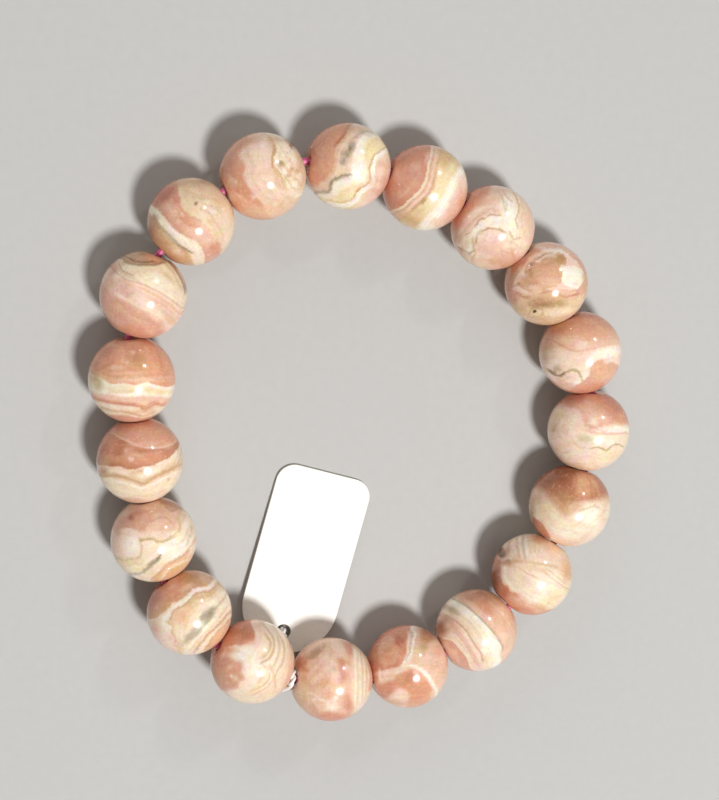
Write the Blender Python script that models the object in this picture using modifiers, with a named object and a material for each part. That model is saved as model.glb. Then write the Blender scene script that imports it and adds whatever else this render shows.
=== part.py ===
"""A stretch bracelet of nineteen banded stone beads, lying flat, with a small white tag tied to it.

Each bead is a turned ball, drilled through and ground to a shallow cone at both ends, so that neighbours
sit close on the bent cord. The ring is a chain of such beads: BENDS says how far it turns after each one.
The beads are numbered clockwise, seen from above. Bead 13 sits on the lower end of the tag, and its
neighbours are lifted half as far. The origin is on the table, under the middle of the ring. +Z is up, and
the tag hangs at the -Y side.
"""

import math

import bpy
from mathutils import Matrix, Vector

MM = 0.001

# Beads
BEAD_RADIUS = 5.0 * MM
HOLE_RADIUS = 0.7 * MM
END_RADIUS = 2.5 * MM  # the ground end begins this far from the hole's axis
MOUTH_REACH = 4.68 * MM  # from the bead's middle to the mouth of its hole
BEAD_SIDES = 16
ARC_STEPS = 9  # an odd number, so that a flat facet lies on the table

# The ring
BENDS = (28, 15, 14, 16, 18, 23, 19, 13, 21, 17, 23, 21, 25, 25, 6, 2, 25, 26, 23)  # degrees, 360 in all
FIRST_HEADING = 19.7  # degrees from +X, of bead 1's hole
JOINT_GAP = 0.26 * MM  # between two beads where they come closest
SLACK = {1: 0.2 * MM, 12: 0.6 * MM, 18: 0.15 * MM}  # more room after these beads
LIFTED_JOINTS = (12, 13)  # before and after the bead that sits on the tag
TAG_LIFT = 1.2 * MM

# Cord and thread
CORD_RADIUS = 0.4 * MM
THREAD_RADIUS = 0.2 * MM
THREAD_JOINT = 12  # the thread goes round the cord after this bead
THREAD_STEPS = 3  # between two points of the route

# The thread's closed route in millimetres from the table under its joint: away from the ring's middle,
# towards the bead before the joint, and up. It leaves the tag's hole, goes over the cord and comes back
# along the table, under the tag's end.
THREAD_ROUTE = (
    (-4.35, -1.20, 1.00),
    (-3.60, -1.00, 1.85),
    (-2.40, -0.50, 2.60),
    (-1.45, -0.05, 4.00),
    (-1.05, 0.00, 5.50),
    (-0.75, 0.00, 6.75),
    (0.00, 0.00, 7.30),
    (0.85, 0.00, 6.80),
    (1.45, 0.00, 5.60),
    (2.10, 0.00, 4.20),
    (2.75, 0.00, 2.60),
    (3.00, -0.05, 1.30),
    (2.70, -0.10, 0.55),
    (1.90, -0.20, 0.31),
    (0.60, -0.40, 0.30),
    (-1.40, -0.75, 0.30),
    (-3.20, -1.05, 0.31),
    (-4.15, -1.20, 0.45),
)

# Tag
TAG_WIDTH = 12.1 * MM
TAG_LENGTH = 23.0 * MM
TAG_THICKNESS = 0.35 * MM
TAG_TOP_CORNER = 2.3 * MM
TAG_HOLE_RADIUS = 0.95 * MM
TAG_HOLE_FROM_END = 2.55 * MM
TAG_HOLE_HEIGHT = 0.75 * MM  # the thread lifts the card this far at its hole
TAG_TOP = Vector((-3.75, -6.43, 0.0)) * MM  # middle of the tag's upper edge
TAG_TURN = -16.8  # degrees about +Z
TAG_CORNER_STEPS = 6
TAG_END_STEPS = 28
TAG_HOLE_STEPS = 24

# Colours, as linear red, green and blue
ROSE = (0.55, 0.19, 0.14, 1.0)
PEACH = (0.66, 0.33, 0.20, 1.0)
CREAM = (0.78, 0.62, 0.42, 1.0)
CORD_PINK = (0.75, 0.06, 0.22, 1.0)
WHITE = (0.86, 0.86, 0.84, 1.0)

# The main tone of each bead, from bead 1 on
BEAD_TONES = (
    "rose", "cream", "rose", "cream", "peach", "cream", "peach", "peach", "cream", "cream",
    "peach", "peach", "cream", "cream", "cream", "rose", "peach", "cream", "cream",
)
TONE_COLOURS = {"rose": ROSE, "peach": PEACH, "cream": CREAM}


def clear_scene():
    for scene_object in list(bpy.data.objects):
        bpy.data.objects.remove(scene_object, do_unlink=True)


def new_collection(name):
    collection = bpy.data.collections.new(name)
    bpy.context.scene.collection.children.link(collection)
    return collection


def new_material(name, colour, roughness):
    material = bpy.data.materials.new(name)
    material.use_nodes = True
    shader = material.node_tree.nodes["Principled BSDF"]
    shader.inputs["Base Color"].default_value = colour
    shader.inputs["Roughness"].default_value = roughness
    shader.inputs["Metallic"].default_value = 0.0
    material.diffuse_color = colour
    return material


def stone_material(tone):
    """Banded stone in one main tone, polished all over."""
    return new_material("polished_stone_" + tone, TONE_COLOURS[tone], 0.12)


def cord_material():
    return new_material("pink_elastic", CORD_PINK, 0.45)


def card_material():
    return new_material("white_card", WHITE, 0.35)


def thread_material():
    return new_material("white_thread", WHITE, 0.8)


def bead_profile():
    """Half a bead's section as (distance from the axis, height): down the outer side, then up the hole.

    The corners lie a little outside the true ball and hole, so that the flat facets touch them.
    """
    end_angle = math.acos(END_RADIUS / BEAD_RADIUS)
    half_step = end_angle / ARC_STEPS
    corner_radius = BEAD_RADIUS / math.cos(half_step)
    side_stretch = 1 / math.cos(math.pi / BEAD_SIDES)
    points = []
    for step in range(ARC_STEPS + 1):
        angle = end_angle - 2 * half_step * step
        points.append((corner_radius * math.cos(angle) * side_stretch, corner_radius * math.sin(angle)))
    points.append((HOLE_RADIUS * side_stretch, -MOUTH_REACH))
    points.append((HOLE_RADIUS * side_stretch, MOUTH_REACH))
    return points


def half_span(bend):
    """From a bead's middle to the joint where the cord bends, with the two ends just clear there."""
    lean = math.radians(bend) / 2
    reach = max(height + distance * math.tan(lean) for distance, height in bead_profile())
    return reach + JOINT_GAP / 2 / math.cos(lean)


def spans_beside_joints():
    """How far each joint is from the middles of the beads on both sides, from the joint after bead 1 on."""
    return [half_span(bend) + SLACK.get(number, 0.0) / 2 for number, bend in enumerate(BENDS, start=1)]


def joint_places():
    """The points where the cord bends, from the one before bead 1 to the one after the last bead.

    The last point is the first one again. What is missing there is shared out along the chain.
    """
    spans = spans_beside_joints()
    heading = math.radians(FIRST_HEADING)
    places = [Vector((0.0, 0.0, 0.0))]
    for index, bend in enumerate(BENDS):
        length = spans[index - 1] + spans[index]
        places.append(places[-1] + length * Vector((math.cos(heading), math.sin(heading), 0.0)))
        heading -= math.radians(bend)
    miss = places[-1] - places[0]
    places = [place - miss * index / len(BENDS) for index, place in enumerate(places)]
    for number, place in enumerate(places):
        place.z = BEAD_RADIUS + (TAG_LIFT if number in LIFTED_JOINTS else 0.0)
    return places


def bead_middles(joints):
    """Each bead's middle, on the straight line between the joints before and after it."""
    spans = spans_beside_joints()
    middles = []
    for index in range(len(BENDS)):
        share = spans[index - 1] / (spans[index - 1] + spans[index])
        middles.append(joints[index].lerp(joints[index + 1], share))
    return middles


def centred_ring():
    """Joints and bead middles, moved so that the ring's middle is over the origin."""
    joints = joint_places()
    middles = bead_middles(joints)
    low_x, high_x = min(middle.x for middle in middles), max(middle.x for middle in middles)
    low_y, high_y = min(middle.y for middle in middles), max(middle.y for middle in middles)
    shift = Vector(((low_x + high_x) / 2, (low_y + high_y) / 2, 0.0))
    return [joint - shift for joint in joints], [middle - shift for middle in middles]


def bead_section_mesh():
    """The closed outline that every bead is turned from."""
    points = bead_profile()
    vertices = [(distance, 0.0, height) for distance, height in points]
    edges = [(index, (index + 1) % len(points)) for index in range(len(points))]
    mesh = bpy.data.meshes.new("bead_section")
    mesh.from_pydata(vertices, edges, [])
    return mesh


def add_bead(number, section, middle, axis, material, collection):
    """One bead, turned about its hole, with a facet facing down."""
    bead = bpy.data.objects.new("bead_%02d" % number, section)
    collection.objects.link(bead)
    half_side = Matrix.Rotation(math.pi / BEAD_SIDES, 3, "Z")
    bead.location = middle
    bead.rotation_euler = (axis.to_track_quat("Z", "Y").to_matrix() @ half_side).to_euler()
    turn = bead.modifiers.new("turn", "SCREW")
    turn.axis = "Z"
    turn.angle = math.tau
    turn.steps = BEAD_SIDES
    turn.render_steps = BEAD_SIDES
    turn.use_merge_vertices = True
    turn.merge_threshold = 0.01 * MM
    turn.use_smooth_shade = True
    bead.material_slots[0].link = "OBJECT"
    bead.material_slots[0].material = material
    return bead


def add_beads(joints, middles, collection):
    section = bead_section_mesh()
    materials = {tone: stone_material(tone) for tone in TONE_COLOURS}
    section.materials.append(materials["cream"])
    for index, tone in enumerate(BEAD_TONES):
        axis = joints[index + 1] - joints[index]
        add_bead(index + 1, section, middles[index], axis, materials[tone], collection)


def new_curve(name, radius):
    """A round bar along a curve, eight-sided."""
    curve = bpy.data.curves.new(name, "CURVE")
    curve.dimensions = "3D"
    curve.bevel_depth = radius
    curve.bevel_resolution = 2
    return curve


def add_elastic_cord(joints, collection):
    """One closed loop: straight through each bead, with its bends in the gaps."""
    curve = new_curve("elastic_cord", CORD_RADIUS)
    spline = curve.splines.new("POLY")
    spline.points.add(len(BENDS) - 1)
    for point, joint in zip(spline.points, joints):
        point.co = (*joint, 1.0)
    spline.use_cyclic_u = True
    cord = bpy.data.objects.new("elastic_cord", curve)
    collection.objects.link(cord)
    curve.materials.append(cord_material())
    return cord


def arc(middle, radius, start, end, steps):
    """Points on an arc about (x, y), with angles in degrees."""
    points = []
    for step in range(steps + 1):
        angle = math.radians(start + (end - start) * step / steps)
        points.append((middle[0] + radius * math.cos(angle), middle[1] + radius * math.sin(angle)))
    return points


def tag_outline():
    """The tag from its top edge at y = 0 down to its round end, going anticlockwise from the top right."""
    side = TAG_WIDTH / 2
    corner = TAG_TOP_CORNER
    outline = arc((side - corner, -corner), corner, 0, 90, TAG_CORNER_STEPS)
    outline += arc((corner - side, -corner), corner, 90, 180, TAG_CORNER_STEPS)
    outline += arc((0.0, side - TAG_LENGTH), side, 180, 360, TAG_END_STEPS)
    return outline


def tag_hole():
    """The hole's edge, without the last point, which would be the first one again."""
    middle = (0.0, TAG_HOLE_FROM_END - TAG_LENGTH)
    return arc(middle, TAG_HOLE_RADIUS, 0, 360, TAG_HOLE_STEPS)[:-1]


def thread_points(joints, middles):
    """The thread's route in the ring's own place: the joint is between two beads, and out is across them."""
    joint = joints[THREAD_JOINT]
    towards = (middles[THREAD_JOINT - 1] - middles[THREAD_JOINT]).to_2d().normalized()
    points = []
    for out, along, up in THREAD_ROUTE:
        x = joint.x + (out * towards.y + along * towards.x) * MM
        y = joint.y + (along * towards.y - out * towards.x) * MM
        points.append(Vector((x, y, up * MM)))
    return points


def add_tag_loop(joints, middles, collection):
    """A closed loop of thread through the tag's hole and over the cord."""
    curve = new_curve("tag_loop", THREAD_RADIUS)
    curve.resolution_u = THREAD_STEPS
    curve.materials.append(thread_material())
    route = thread_points(joints, middles)
    spline = curve.splines.new("BEZIER")
    spline.bezier_points.add(len(route) - 1)
    for point, place in zip(spline.bezier_points, route):
        point.co = place
        point.handle_left_type = "AUTO"
        point.handle_right_type = "AUTO"
    spline.use_cyclic_u = True
    loop = bpy.data.objects.new("tag_loop", curve)
    collection.objects.link(loop)
    return loop


def add_price_tag(collection):
    """A flat card with a hole, tilted about its top edge by the thread under its lower end."""
    curve = bpy.data.curves.new("price_tag", "CURVE")
    curve.dimensions = "2D"
    curve.fill_mode = "BOTH"
    curve.extrude = TAG_THICKNESS / 2
    for outline in (tag_outline(), tag_hole()):
        spline = curve.splines.new("POLY")
        spline.points.add(len(outline) - 1)
        for point, (x, y) in zip(spline.points, outline):
            point.co = (x, y, 0.0, 1.0)
        spline.use_cyclic_u = True
    tag = bpy.data.objects.new("price_tag", curve)
    collection.objects.link(tag)
    tilt = math.asin(TAG_HOLE_HEIGHT / (TAG_LENGTH - TAG_HOLE_FROM_END))
    tag.location = TAG_TOP + Vector((0.0, 0.0, TAG_THICKNESS / 2))
    tag.rotation_euler = (-tilt, 0.0, math.radians(TAG_TURN))
    curve.materials.append(card_material())
    return tag


def main():
    clear_scene()
    bracelet = new_collection("bead_bracelet")
    joints, middles = centred_ring()
    add_beads(joints, middles, bracelet)
    add_elastic_cord(joints, bracelet)
    add_tag_loop(joints, middles, bracelet)
    add_price_tag(bracelet)


main()
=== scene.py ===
"""A stretch bracelet of nineteen balls of banded rhodochrosite, polished to a gloss, on a pink elastic cord.

A bare white card tag hangs on it by a loop of white thread. The balls were cut from one kind of layered
stone, but each shows its own piece of it, so each has its own list of marks: the bands, veins and spots
that lie on its upper face. A mark is placed from the middle of the face as the camera sees it, right and
up, and the stone carries it on through the ball as a layer. The darker marks along the left and upper left
rim of each ball are partly the stone's own colour and partly painted shade of the ball's shaded side.
"""

import math

import bpy
import numpy as np
from mathutils import Matrix, Vector, noise


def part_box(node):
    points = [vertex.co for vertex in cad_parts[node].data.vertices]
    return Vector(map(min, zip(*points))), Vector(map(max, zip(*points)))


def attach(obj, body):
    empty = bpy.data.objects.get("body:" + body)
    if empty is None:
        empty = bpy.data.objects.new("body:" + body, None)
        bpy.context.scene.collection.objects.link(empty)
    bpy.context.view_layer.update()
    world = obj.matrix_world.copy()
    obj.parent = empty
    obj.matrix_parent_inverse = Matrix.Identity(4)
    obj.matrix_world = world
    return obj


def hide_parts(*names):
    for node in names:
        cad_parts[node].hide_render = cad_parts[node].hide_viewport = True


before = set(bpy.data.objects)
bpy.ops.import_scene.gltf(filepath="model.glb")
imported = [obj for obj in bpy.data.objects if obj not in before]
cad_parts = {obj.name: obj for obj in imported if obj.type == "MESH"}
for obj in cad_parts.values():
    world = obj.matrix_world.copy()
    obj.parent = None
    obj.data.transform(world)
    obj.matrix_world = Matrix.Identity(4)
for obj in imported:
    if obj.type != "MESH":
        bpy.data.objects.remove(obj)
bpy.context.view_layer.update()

MM = 0.001

# Camera
IMAGE_LONG_SIDE = 800
FOCAL_LENGTH_IN_PIXELS = 1964.2
SENSOR_WIDTH = 36.0
CAMERA_PLACE = Vector((-56.28, 43.12, 229.68)) * MM
CAMERA_TARGET = Vector((0.29, 2.34, 0.0)) * MM
CAMERA_ROLL = math.radians(-0.03)
NEAREST_SHOWN = 10 * MM
FURTHEST_SHOWN = 3000 * MM

# Table
TABLE_SIZE = 3200 * MM
TABLE_HEIGHT = -0.06 * MM

# Lights. Each lamp has its direction from the ring's middle, its width, its power in watts, and whether
# the stone's polish mirrors it.
LAMPS = {
    "main_lamp": ((0.177, -0.340, 1.0), 150 * MM, 5.8, True),
    "small_lamp": ((0.691, 1.015, 1.0), 60 * MM, 0.5, True),
    "back_panel": ((-0.30, 1.0, 0.45), 600 * MM, 1.5, False),
}
LAMP_DISTANCE = 800 * MM
LAMP_COLOUR = (1.0, 0.99, 0.985)
GLOW_COLOUR = (1.0, 0.965, 0.925, 1.0)
GLOW_STRENGTH = 0.23

# Balls
BALL_COUNT = 19
BALL_RADIUS = 5.05 * MM
BALL_SIDES = 128
ARC_STEPS = 44  # from the ground end to the ball's widest place
HOLE_RADIUS = 0.62 * MM
HOLE_HEIGHTS = (0.0, 1.5, 3.0, 4.0, 4.4)  # in millimetres from the ball's middle
HOLE_CORNER_REACH = 4.9 * MM  # a solid's corners that lie nearer its middle than this are its hole's
RIM_RADIUS = 0.13 * MM
RIM_STEPS = 4
MOUTH_REACH = 4.68 * MM  # from the ball's middle to the mouth of its hole
END_RADIUS = 1.6 * MM  # the ground end begins this far from the hole's axis
END_STEPS = 5
TOUCH_GAP = 0.03 * MM
TOUCH_SOFTNESS = 0.05 * MM

# How a ball carries its marks, in ball radii where nothing else is said
LINE_RUNS_ON = 4  # an edge or vein goes straight on for this far past each end of its line
DRIFT_BEGINS = 0.45  # this far towards the camera from the ball's middle the layers begin to drift,
DRIFT_IS_FULL = -0.65  # and this far behind it they drift fully
DRIFT_REACH = 0.9
DRIFT_SCALE = 1.1
DRIFT_STEP = Vector((7.3, 1.9, 4.1))  # from one ball's drift to the next ball's
DRIFT_SEED = 19  # any whole number but 0, which would draw a new drift each run
LEAN_REACH = 0.5
LEAN_STEP = 2.4  # radians, from one ball's lean to the next ball's

# Cord and thread
CORD_RADIUS = 0.42 * MM
CORD_SIDES = 20
CORD_STRAIGHT = 4.2  # millimetres each way from a ball's middle, where the cord runs straight
STRAND_RADIUS = 0.19 * MM
STRAND_SIDES = 12
STRAND_SWING = 0.85 * STRAND_RADIUS  # the two strands press into each other a little
STRAND_LAY = 1.9 * MM  # the length of one whole turn of the two strands
THREAD_JOINT = 12
NEARLY_UPRIGHT = 0.1  # the sine of a direction's angle to the vertical

# The thread's closed route in millimetres from the table under its joint: away from the ring's middle,
# towards the ball before the joint, and up.
THREAD_ROUTE = (
    (-4.35, -1.20, 1.00),
    (-3.60, -1.00, 1.85),
    (-2.40, -0.50, 2.60),
    (-1.45, -0.05, 4.00),
    (-1.05, 0.00, 5.50),
    (-0.75, 0.00, 6.75),
    (0.00, 0.00, 7.30),
    (0.85, 0.00, 6.80),
    (1.45, 0.00, 5.60),
    (2.10, 0.00, 4.20),
    (2.75, 0.00, 2.60),
    (3.00, -0.05, 1.30),
    (2.70, -0.10, 0.55),
    (1.90, -0.20, 0.31),
    (0.60, -0.40, 0.30),
    (-1.40, -0.75, 0.30),
    (-3.20, -1.05, 0.31),
    (-4.15, -1.20, 0.45),
)

# Tag
TAG_WIDTH = 12.1 * MM
TAG_LENGTH = 23.0 * MM
TAG_THICKNESS = 0.35 * MM
TAG_EDGE = 0.06 * MM
TAG_TOP_CORNER = 2.3 * MM
TAG_HOLE_RADIUS = 0.95 * MM
TAG_HOLE_FROM_END = 2.55 * MM
TAG_HOLE_HEIGHT = 0.75 * MM
TAG_TOP = Vector((-3.75, -6.43, 0.0)) * MM
TAG_TURN = -16.8
CORNER_STEPS = 12
ROUND_END_STEPS = 48
TAG_HOLE_STEPS = 40

# Nearly all of a noise's values lie this close to its middle
NOISE_MIDDLE = 0.5
NOISE_REACH = 0.2
NOISE_LOW = NOISE_MIDDLE - NOISE_REACH
NOISE_HIGH = NOISE_MIDDLE + NOISE_REACH

# The stone's noises: how many of their features cross a millimetre, their detail and their roughness
STONE_NOISES = {
    "waves": (0.55, 2.0, 0.5),  # slow waves of the layers, 2 mm long
    "crystals": (3.2, 3.0, 0.5),  # ragged crystals, 0.3 mm across
    "clouds": (0.4, 4.0, 0.6),  # the stone's cloudy depth, 3 mm across
    "blotches": (1.0, 3.0, 0.5),  # pinker and browner stone, 1 mm across
    "grain": (6.0, 2.0, 0.5),  # a sugary grain, 0.2 mm across
    "flecks": (2.4, 4.0, 0.65),  # pale crystals of calcite, 0.4 mm across
}
WAVE_HEIGHT = 0.5  # how far the waves push a layer's edge, in millimetres
CRYSTAL_HEIGHT = 0.4
VEIN_TAPER = 0.7  # a vein runs out over this many millimetres
EDGE_PULL = 0.4  # an edge shapes the layers nearer than this many millimetres the most

# The stone's colours, as its layers are named in this file
STONE = {
    "milk": "#F9EFDD",
    "cream": "#F2DDC2",
    "butter": "#F0DAAC",
    "sand": "#E6C8A4",
    "oat": "#E8CAB0",
    "shell": "#F4D6C3",
    "blush": "#EBC3A9",
    "peach": "#E8BA95",
    "apricot": "#E1A482",
    "pink": "#DCA68E",
    "salmon": "#DB9D7C",
    "rose": "#D38F72",
    "deep_rose": "#BA684D",
    "sienna": "#BD7E5D",
    "rust": "#93502F",
    "golden": "#D4AC76",
    "tan": "#D4A77F",
    "hazel": "#B98C62",
    "olive": "#BCA678",
    "sage": "#ADA18A",
    "umber": "#7F573A",
    "pit": "#4A3524",
}


def edge(colour, beside, line, soft=0.14):
    """A layer's near side: from the line on, on the side where beside lies, the stone has this colour."""
    return {"form": "edge", "colour": colour, "beside": of_radius([beside]), "line": of_radius(line),
            "soft": soft}


def vein(colour, width, line, strength=0.85, soft=0.12):
    """A thin layer, width millimetres wide, that runs out at both ends of its line."""
    return {"form": "vein", "colour": colour, "width": width, "line": of_radius(line), "strength": strength,
            "soft": soft}


def patch(colour, line, strength=1.0, soft=0.16):
    """A closed area, with its outline given point by point."""
    return {"form": "patch", "colour": colour, "line": of_radius(line), "strength": strength, "soft": soft}


def spot(colour, middle, radii, strength=0.8, soft=0.35, turn=0.0):
    """An oval area, turned anticlockwise by turn degrees."""
    return {"form": "spot", "colour": colour, "middle": of_radius([middle])[0],
            "radii": of_radius([radii])[0], "turn": turn, "strength": strength, "soft": soft}


def of_radius(places):
    """Places given in hundredths of the ball's radius, as shares of it."""
    return np.array(places, float) / 100


# How ragged the layers of a ball are, where they differ from the rest
RAGGEDNESS = {1: 1.2, 3: 0.8, 5: 1.2, 9: 0.8, 10: 0.5, 12: 0.4, 13: 0.5, 16: 0.8, 17: 0.7, 18: 0.5}

# Each ball's ground colour and its marks, from the lowest layer up. Places are in hundredths of the ball's
# radius, right and up from the middle of its face. A mark's strength is a share of 1; its width and the
# softness of its edge are in millimetres. The darker spots along the left and upper left rim of the balls
# are partly the stone's own colour and partly painted shade of each ball's shaded side.
BALLS = {}

# Peach on the left, pale pink in the middle, and a speckled cream crust on the right
BALLS[1] = ("salmon", [
    spot("pink", (-62, 42), (36, 42), 0.7, 1.2, turn=-25),
    spot("hazel", (-15, 93), (55, 12), 0.55, 0.4),
    spot("apricot", (-38, -55), (28, 26), 0.7, 0.9),
    edge("oat", (0, 20), [(-30, 100), (-43, 60), (-42, 38), (-35, 20), (-37, 4), (-30, -18), (-16, -38),
        (0, -58), (12, -78), (20, -100)], 0.5),
    spot("blush", (4, 2), (20, 30), 0.5, 0.8, turn=-15),
    spot("shell", (4, 34), (20, 18), 0.6, 0.5, turn=10),
    spot("shell", (8, -10), (15, 22), 0.7, 0.5, turn=-15),
    spot("shell", (-6, 65), (22, 17), 0.9, 0.3),
    vein("shell", 0.6, [(-43, 58), (-46, 46), (-36, 32), (-33, 20), (-37, 6), (-30, -17), (-18, -36),
        (0, -56), (10, -73), (19, -84)], 0.85, 0.3),
    vein("apricot", 0.3, [(-28, 44), (-24, 20), (-26, 0), (-14, -22), (-2, -42)], 0.5, 0.25),
    spot("peach", (32, -74), (36, 20), 0.6, 0.7, turn=10),
    edge("cream", (60, 10), [(14, 100), (24, 80), (30, 60), (25, 42), (22, 24), (33, 10), (43, -6), (50, -28),
        (70, -48), (95, -58)], 0.16),
    spot("sand", (62, 14), (30, 34), 0.4, 0.8, turn=-20),
    vein("milk", 0.22, [(34, 60), (31, 44), (28, 28), (40, 12), (50, -6), (58, -26), (78, -42)], 0.8, 0.2),
    vein("golden", 0.34, [(20, 86), (27, 70), (29, 56), (22, 38), (22, 22), (32, 10), (42, -4), (46, -18),
        (55, -36)], 0.85, 0.16),
    vein("hazel", 0.21, [(28, 66), (28, 54), (21, 38), (22, 24)], 0.75),
    vein("hazel", 0.2, [(36, 22), (44, 12), (54, 4)], 0.62),
    spot("olive", (43, 27), (7, 7), 0.8, 0.25, turn=30),
    spot("tan", (60, 10), (11, 8), 0.45, 0.3, turn=-40),
    spot("tan", (55, 38), (12, 5), 0.6, 0.3, turn=-50),
    spot("tan", (84, 2), (9, 26), 0.7, 0.5),
    spot("golden", (64, 24), (5, 5), 0.7, 0.2),
    vein("hazel", 0.2, [(56, 76), (66, 66), (76, 58)], 0.6, 0.2),
    spot("rust", (64, 67), (5, 3.5), 0.7, 0.15, turn=-40),
    spot("cream", (66, -36), (16, 10), 0.8, 0.4, turn=-40),
    spot("cream", (-78, 0), (12, 5), 0.6, 0.3, turn=-40),
    spot("cream", (-86, -22), (5, 8), 0.5, 0.25),
    spot("cream", (-54, -44), (12, 3.5), 0.6, 0.25, turn=-30),
    spot("shell", (-22, -45), (7, 4), 0.7, 0.25),
    spot("sand", (-50, -20), (8, 5), 0.5, 0.3, turn=40),
    spot("peach", (-10, -78), (36, 16), 0.8, 0.6, turn=-15),
    vein("cream", 0.22, [(-4, -52), (4, -70), (12, -84)], 0.6, 0.2),
    # painted shade: a darker mark on the left rim, partly the stone's own colour and partly the shade of the
    # ball's shaded side
    spot("rose", (-74, 14), (14, 22), 0.6, 0.7, turn=-15),
    spot("tan", (36, -16), (5, 12), 0.5, 0.25, turn=20),
    vein("tan", 0.24, [(78, 30), (70, 16), (74, 0), (66, -16)], 0.5, 0.2),
    spot("rose", (-58, -30), (16, 10), 0.5, 0.4, turn=-30),
    spot("salmon", (-38, -30), (14, 8), 0.6, 0.3, turn=-35),
    spot("milk", (46, 44), (7, 10), 0.8, 0.2, turn=30),
    spot("milk", (48, 8), (6, 8), 0.7, 0.2, turn=-20),
    spot("milk", (70, 34), (6, 9), 0.6, 0.2, turn=20),
    spot("milk", (72, -20), (9, 6), 0.7, 0.2, turn=-30),
    spot("hazel", (66, 14), (5, 7), 0.55, 0.2, turn=20),
    spot("hazel", (50, -10), (4, 7), 0.5, 0.2, turn=25),
    vein("hazel", 0.22, [(62, 40), (68, 26), (64, 12), (70, -2), (78, -8)], 0.55, 0.16),
    vein("golden", 0.26, [(38, 48), (48, 34), (52, 18), (60, 6)], 0.6, 0.16),
    vein("sand", 0.26, [(60, -22), (74, -32), (84, -30)], 0.7, 0.2),
    vein("rust", 0.22, [(40, 84), (54, 76), (68, 62), (80, 50)], 0.5, 0.2),
    vein("tan", 0.24, [(84, 40), (86, 24), (80, 8), (84, -10)], 0.6, 0.2),
    spot("hazel", (58, 52), (6, 4), 0.6, 0.2, turn=-40),
    spot("umber", (42, 30), (3.5, 3), 0.5, 0.15, turn=30),
    spot("umber", (60, 2), (3, 2.5), 0.4, 0.15),
    spot("hazel", (76, 10), (5, 4), 0.5, 0.2, turn=30),
    spot("milk", (60, 22), (5, 6), 0.6, 0.2, turn=-30),
    spot("milk", (84, -4), (4, 8), 0.6, 0.2),
    vein("hazel", 0.2, [(30, 20), (40, 6), (50, 0), (58, -12)], 0.6, 0.14),
    vein("milk", 0.26, [(52, 60), (60, 46), (56, 34), (66, 24)], 0.7, 0.16),
    spot("tan", (-20, 78), (26, 5), 0.5, 0.3, turn=-5),
    # painted shade: a darker mark on the left rim, partly the stone's own colour and partly the shade of the
    # ball's shaded side
    spot("rose", (-84, -8), (10, 20), 0.5, 0.4, turn=10),
    vein("shell", 0.34, [(-16, 42), (-11, 22), (-16, 4), (-6, -16), (4, -34)], 0.6, 0.2),
    vein("cream", 0.34, [(20, -20), (34, -34), (52, -36), (68, -46)], 0.7, 0.2),
    vein("cream", 0.3, [(8, -42), (24, -50), (40, -46), (52, -56)], 0.6, 0.2),
    spot("cream", (28, -62), (9, 5), 0.6, 0.25, turn=20),
    spot("cream", (48, -64), (8, 4), 0.5, 0.25, turn=40),
    spot("sand", (-68, -14), (12, 9), 0.5, 0.3, turn=-40),
    spot("cream", (-62, -8), (7, 3.5), 0.6, 0.2, turn=-30),
    spot("apricot", (-42, 76), (32, 9), 0.6, 0.5, turn=28),
    spot("blush", (14, 10), (7, 12), 0.5, 0.3, turn=-30),
    spot("milk", (-4, 70), (9, 6), 0.5, 0.3, turn=20),
    spot("blush", (-72, -47), (12, 9), 0.6, 0.4),
    spot("tan", (27, 81), (12, 7), 0.6, 0.4),
    # painted shade: a darker mark on the upper left rim, partly the stone's own colour and partly the shade
    # of the ball's shaded side
    spot("sienna", (-42, 74), (16, 8), 0.4, 0.4, turn=28),
    spot("cream", (70, 2), (8, 8), 0.5, 0.3),
    spot("apricot", (-83, -22), (8, 10), 0.5, 0.4),
    # painted shade: a darker mark on the left rim, partly the stone's own colour and partly the shade of the
    # ball's shaded side
    spot("rose", (-81, 29), (9, 14), 0.5, 0.4),
])
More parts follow.
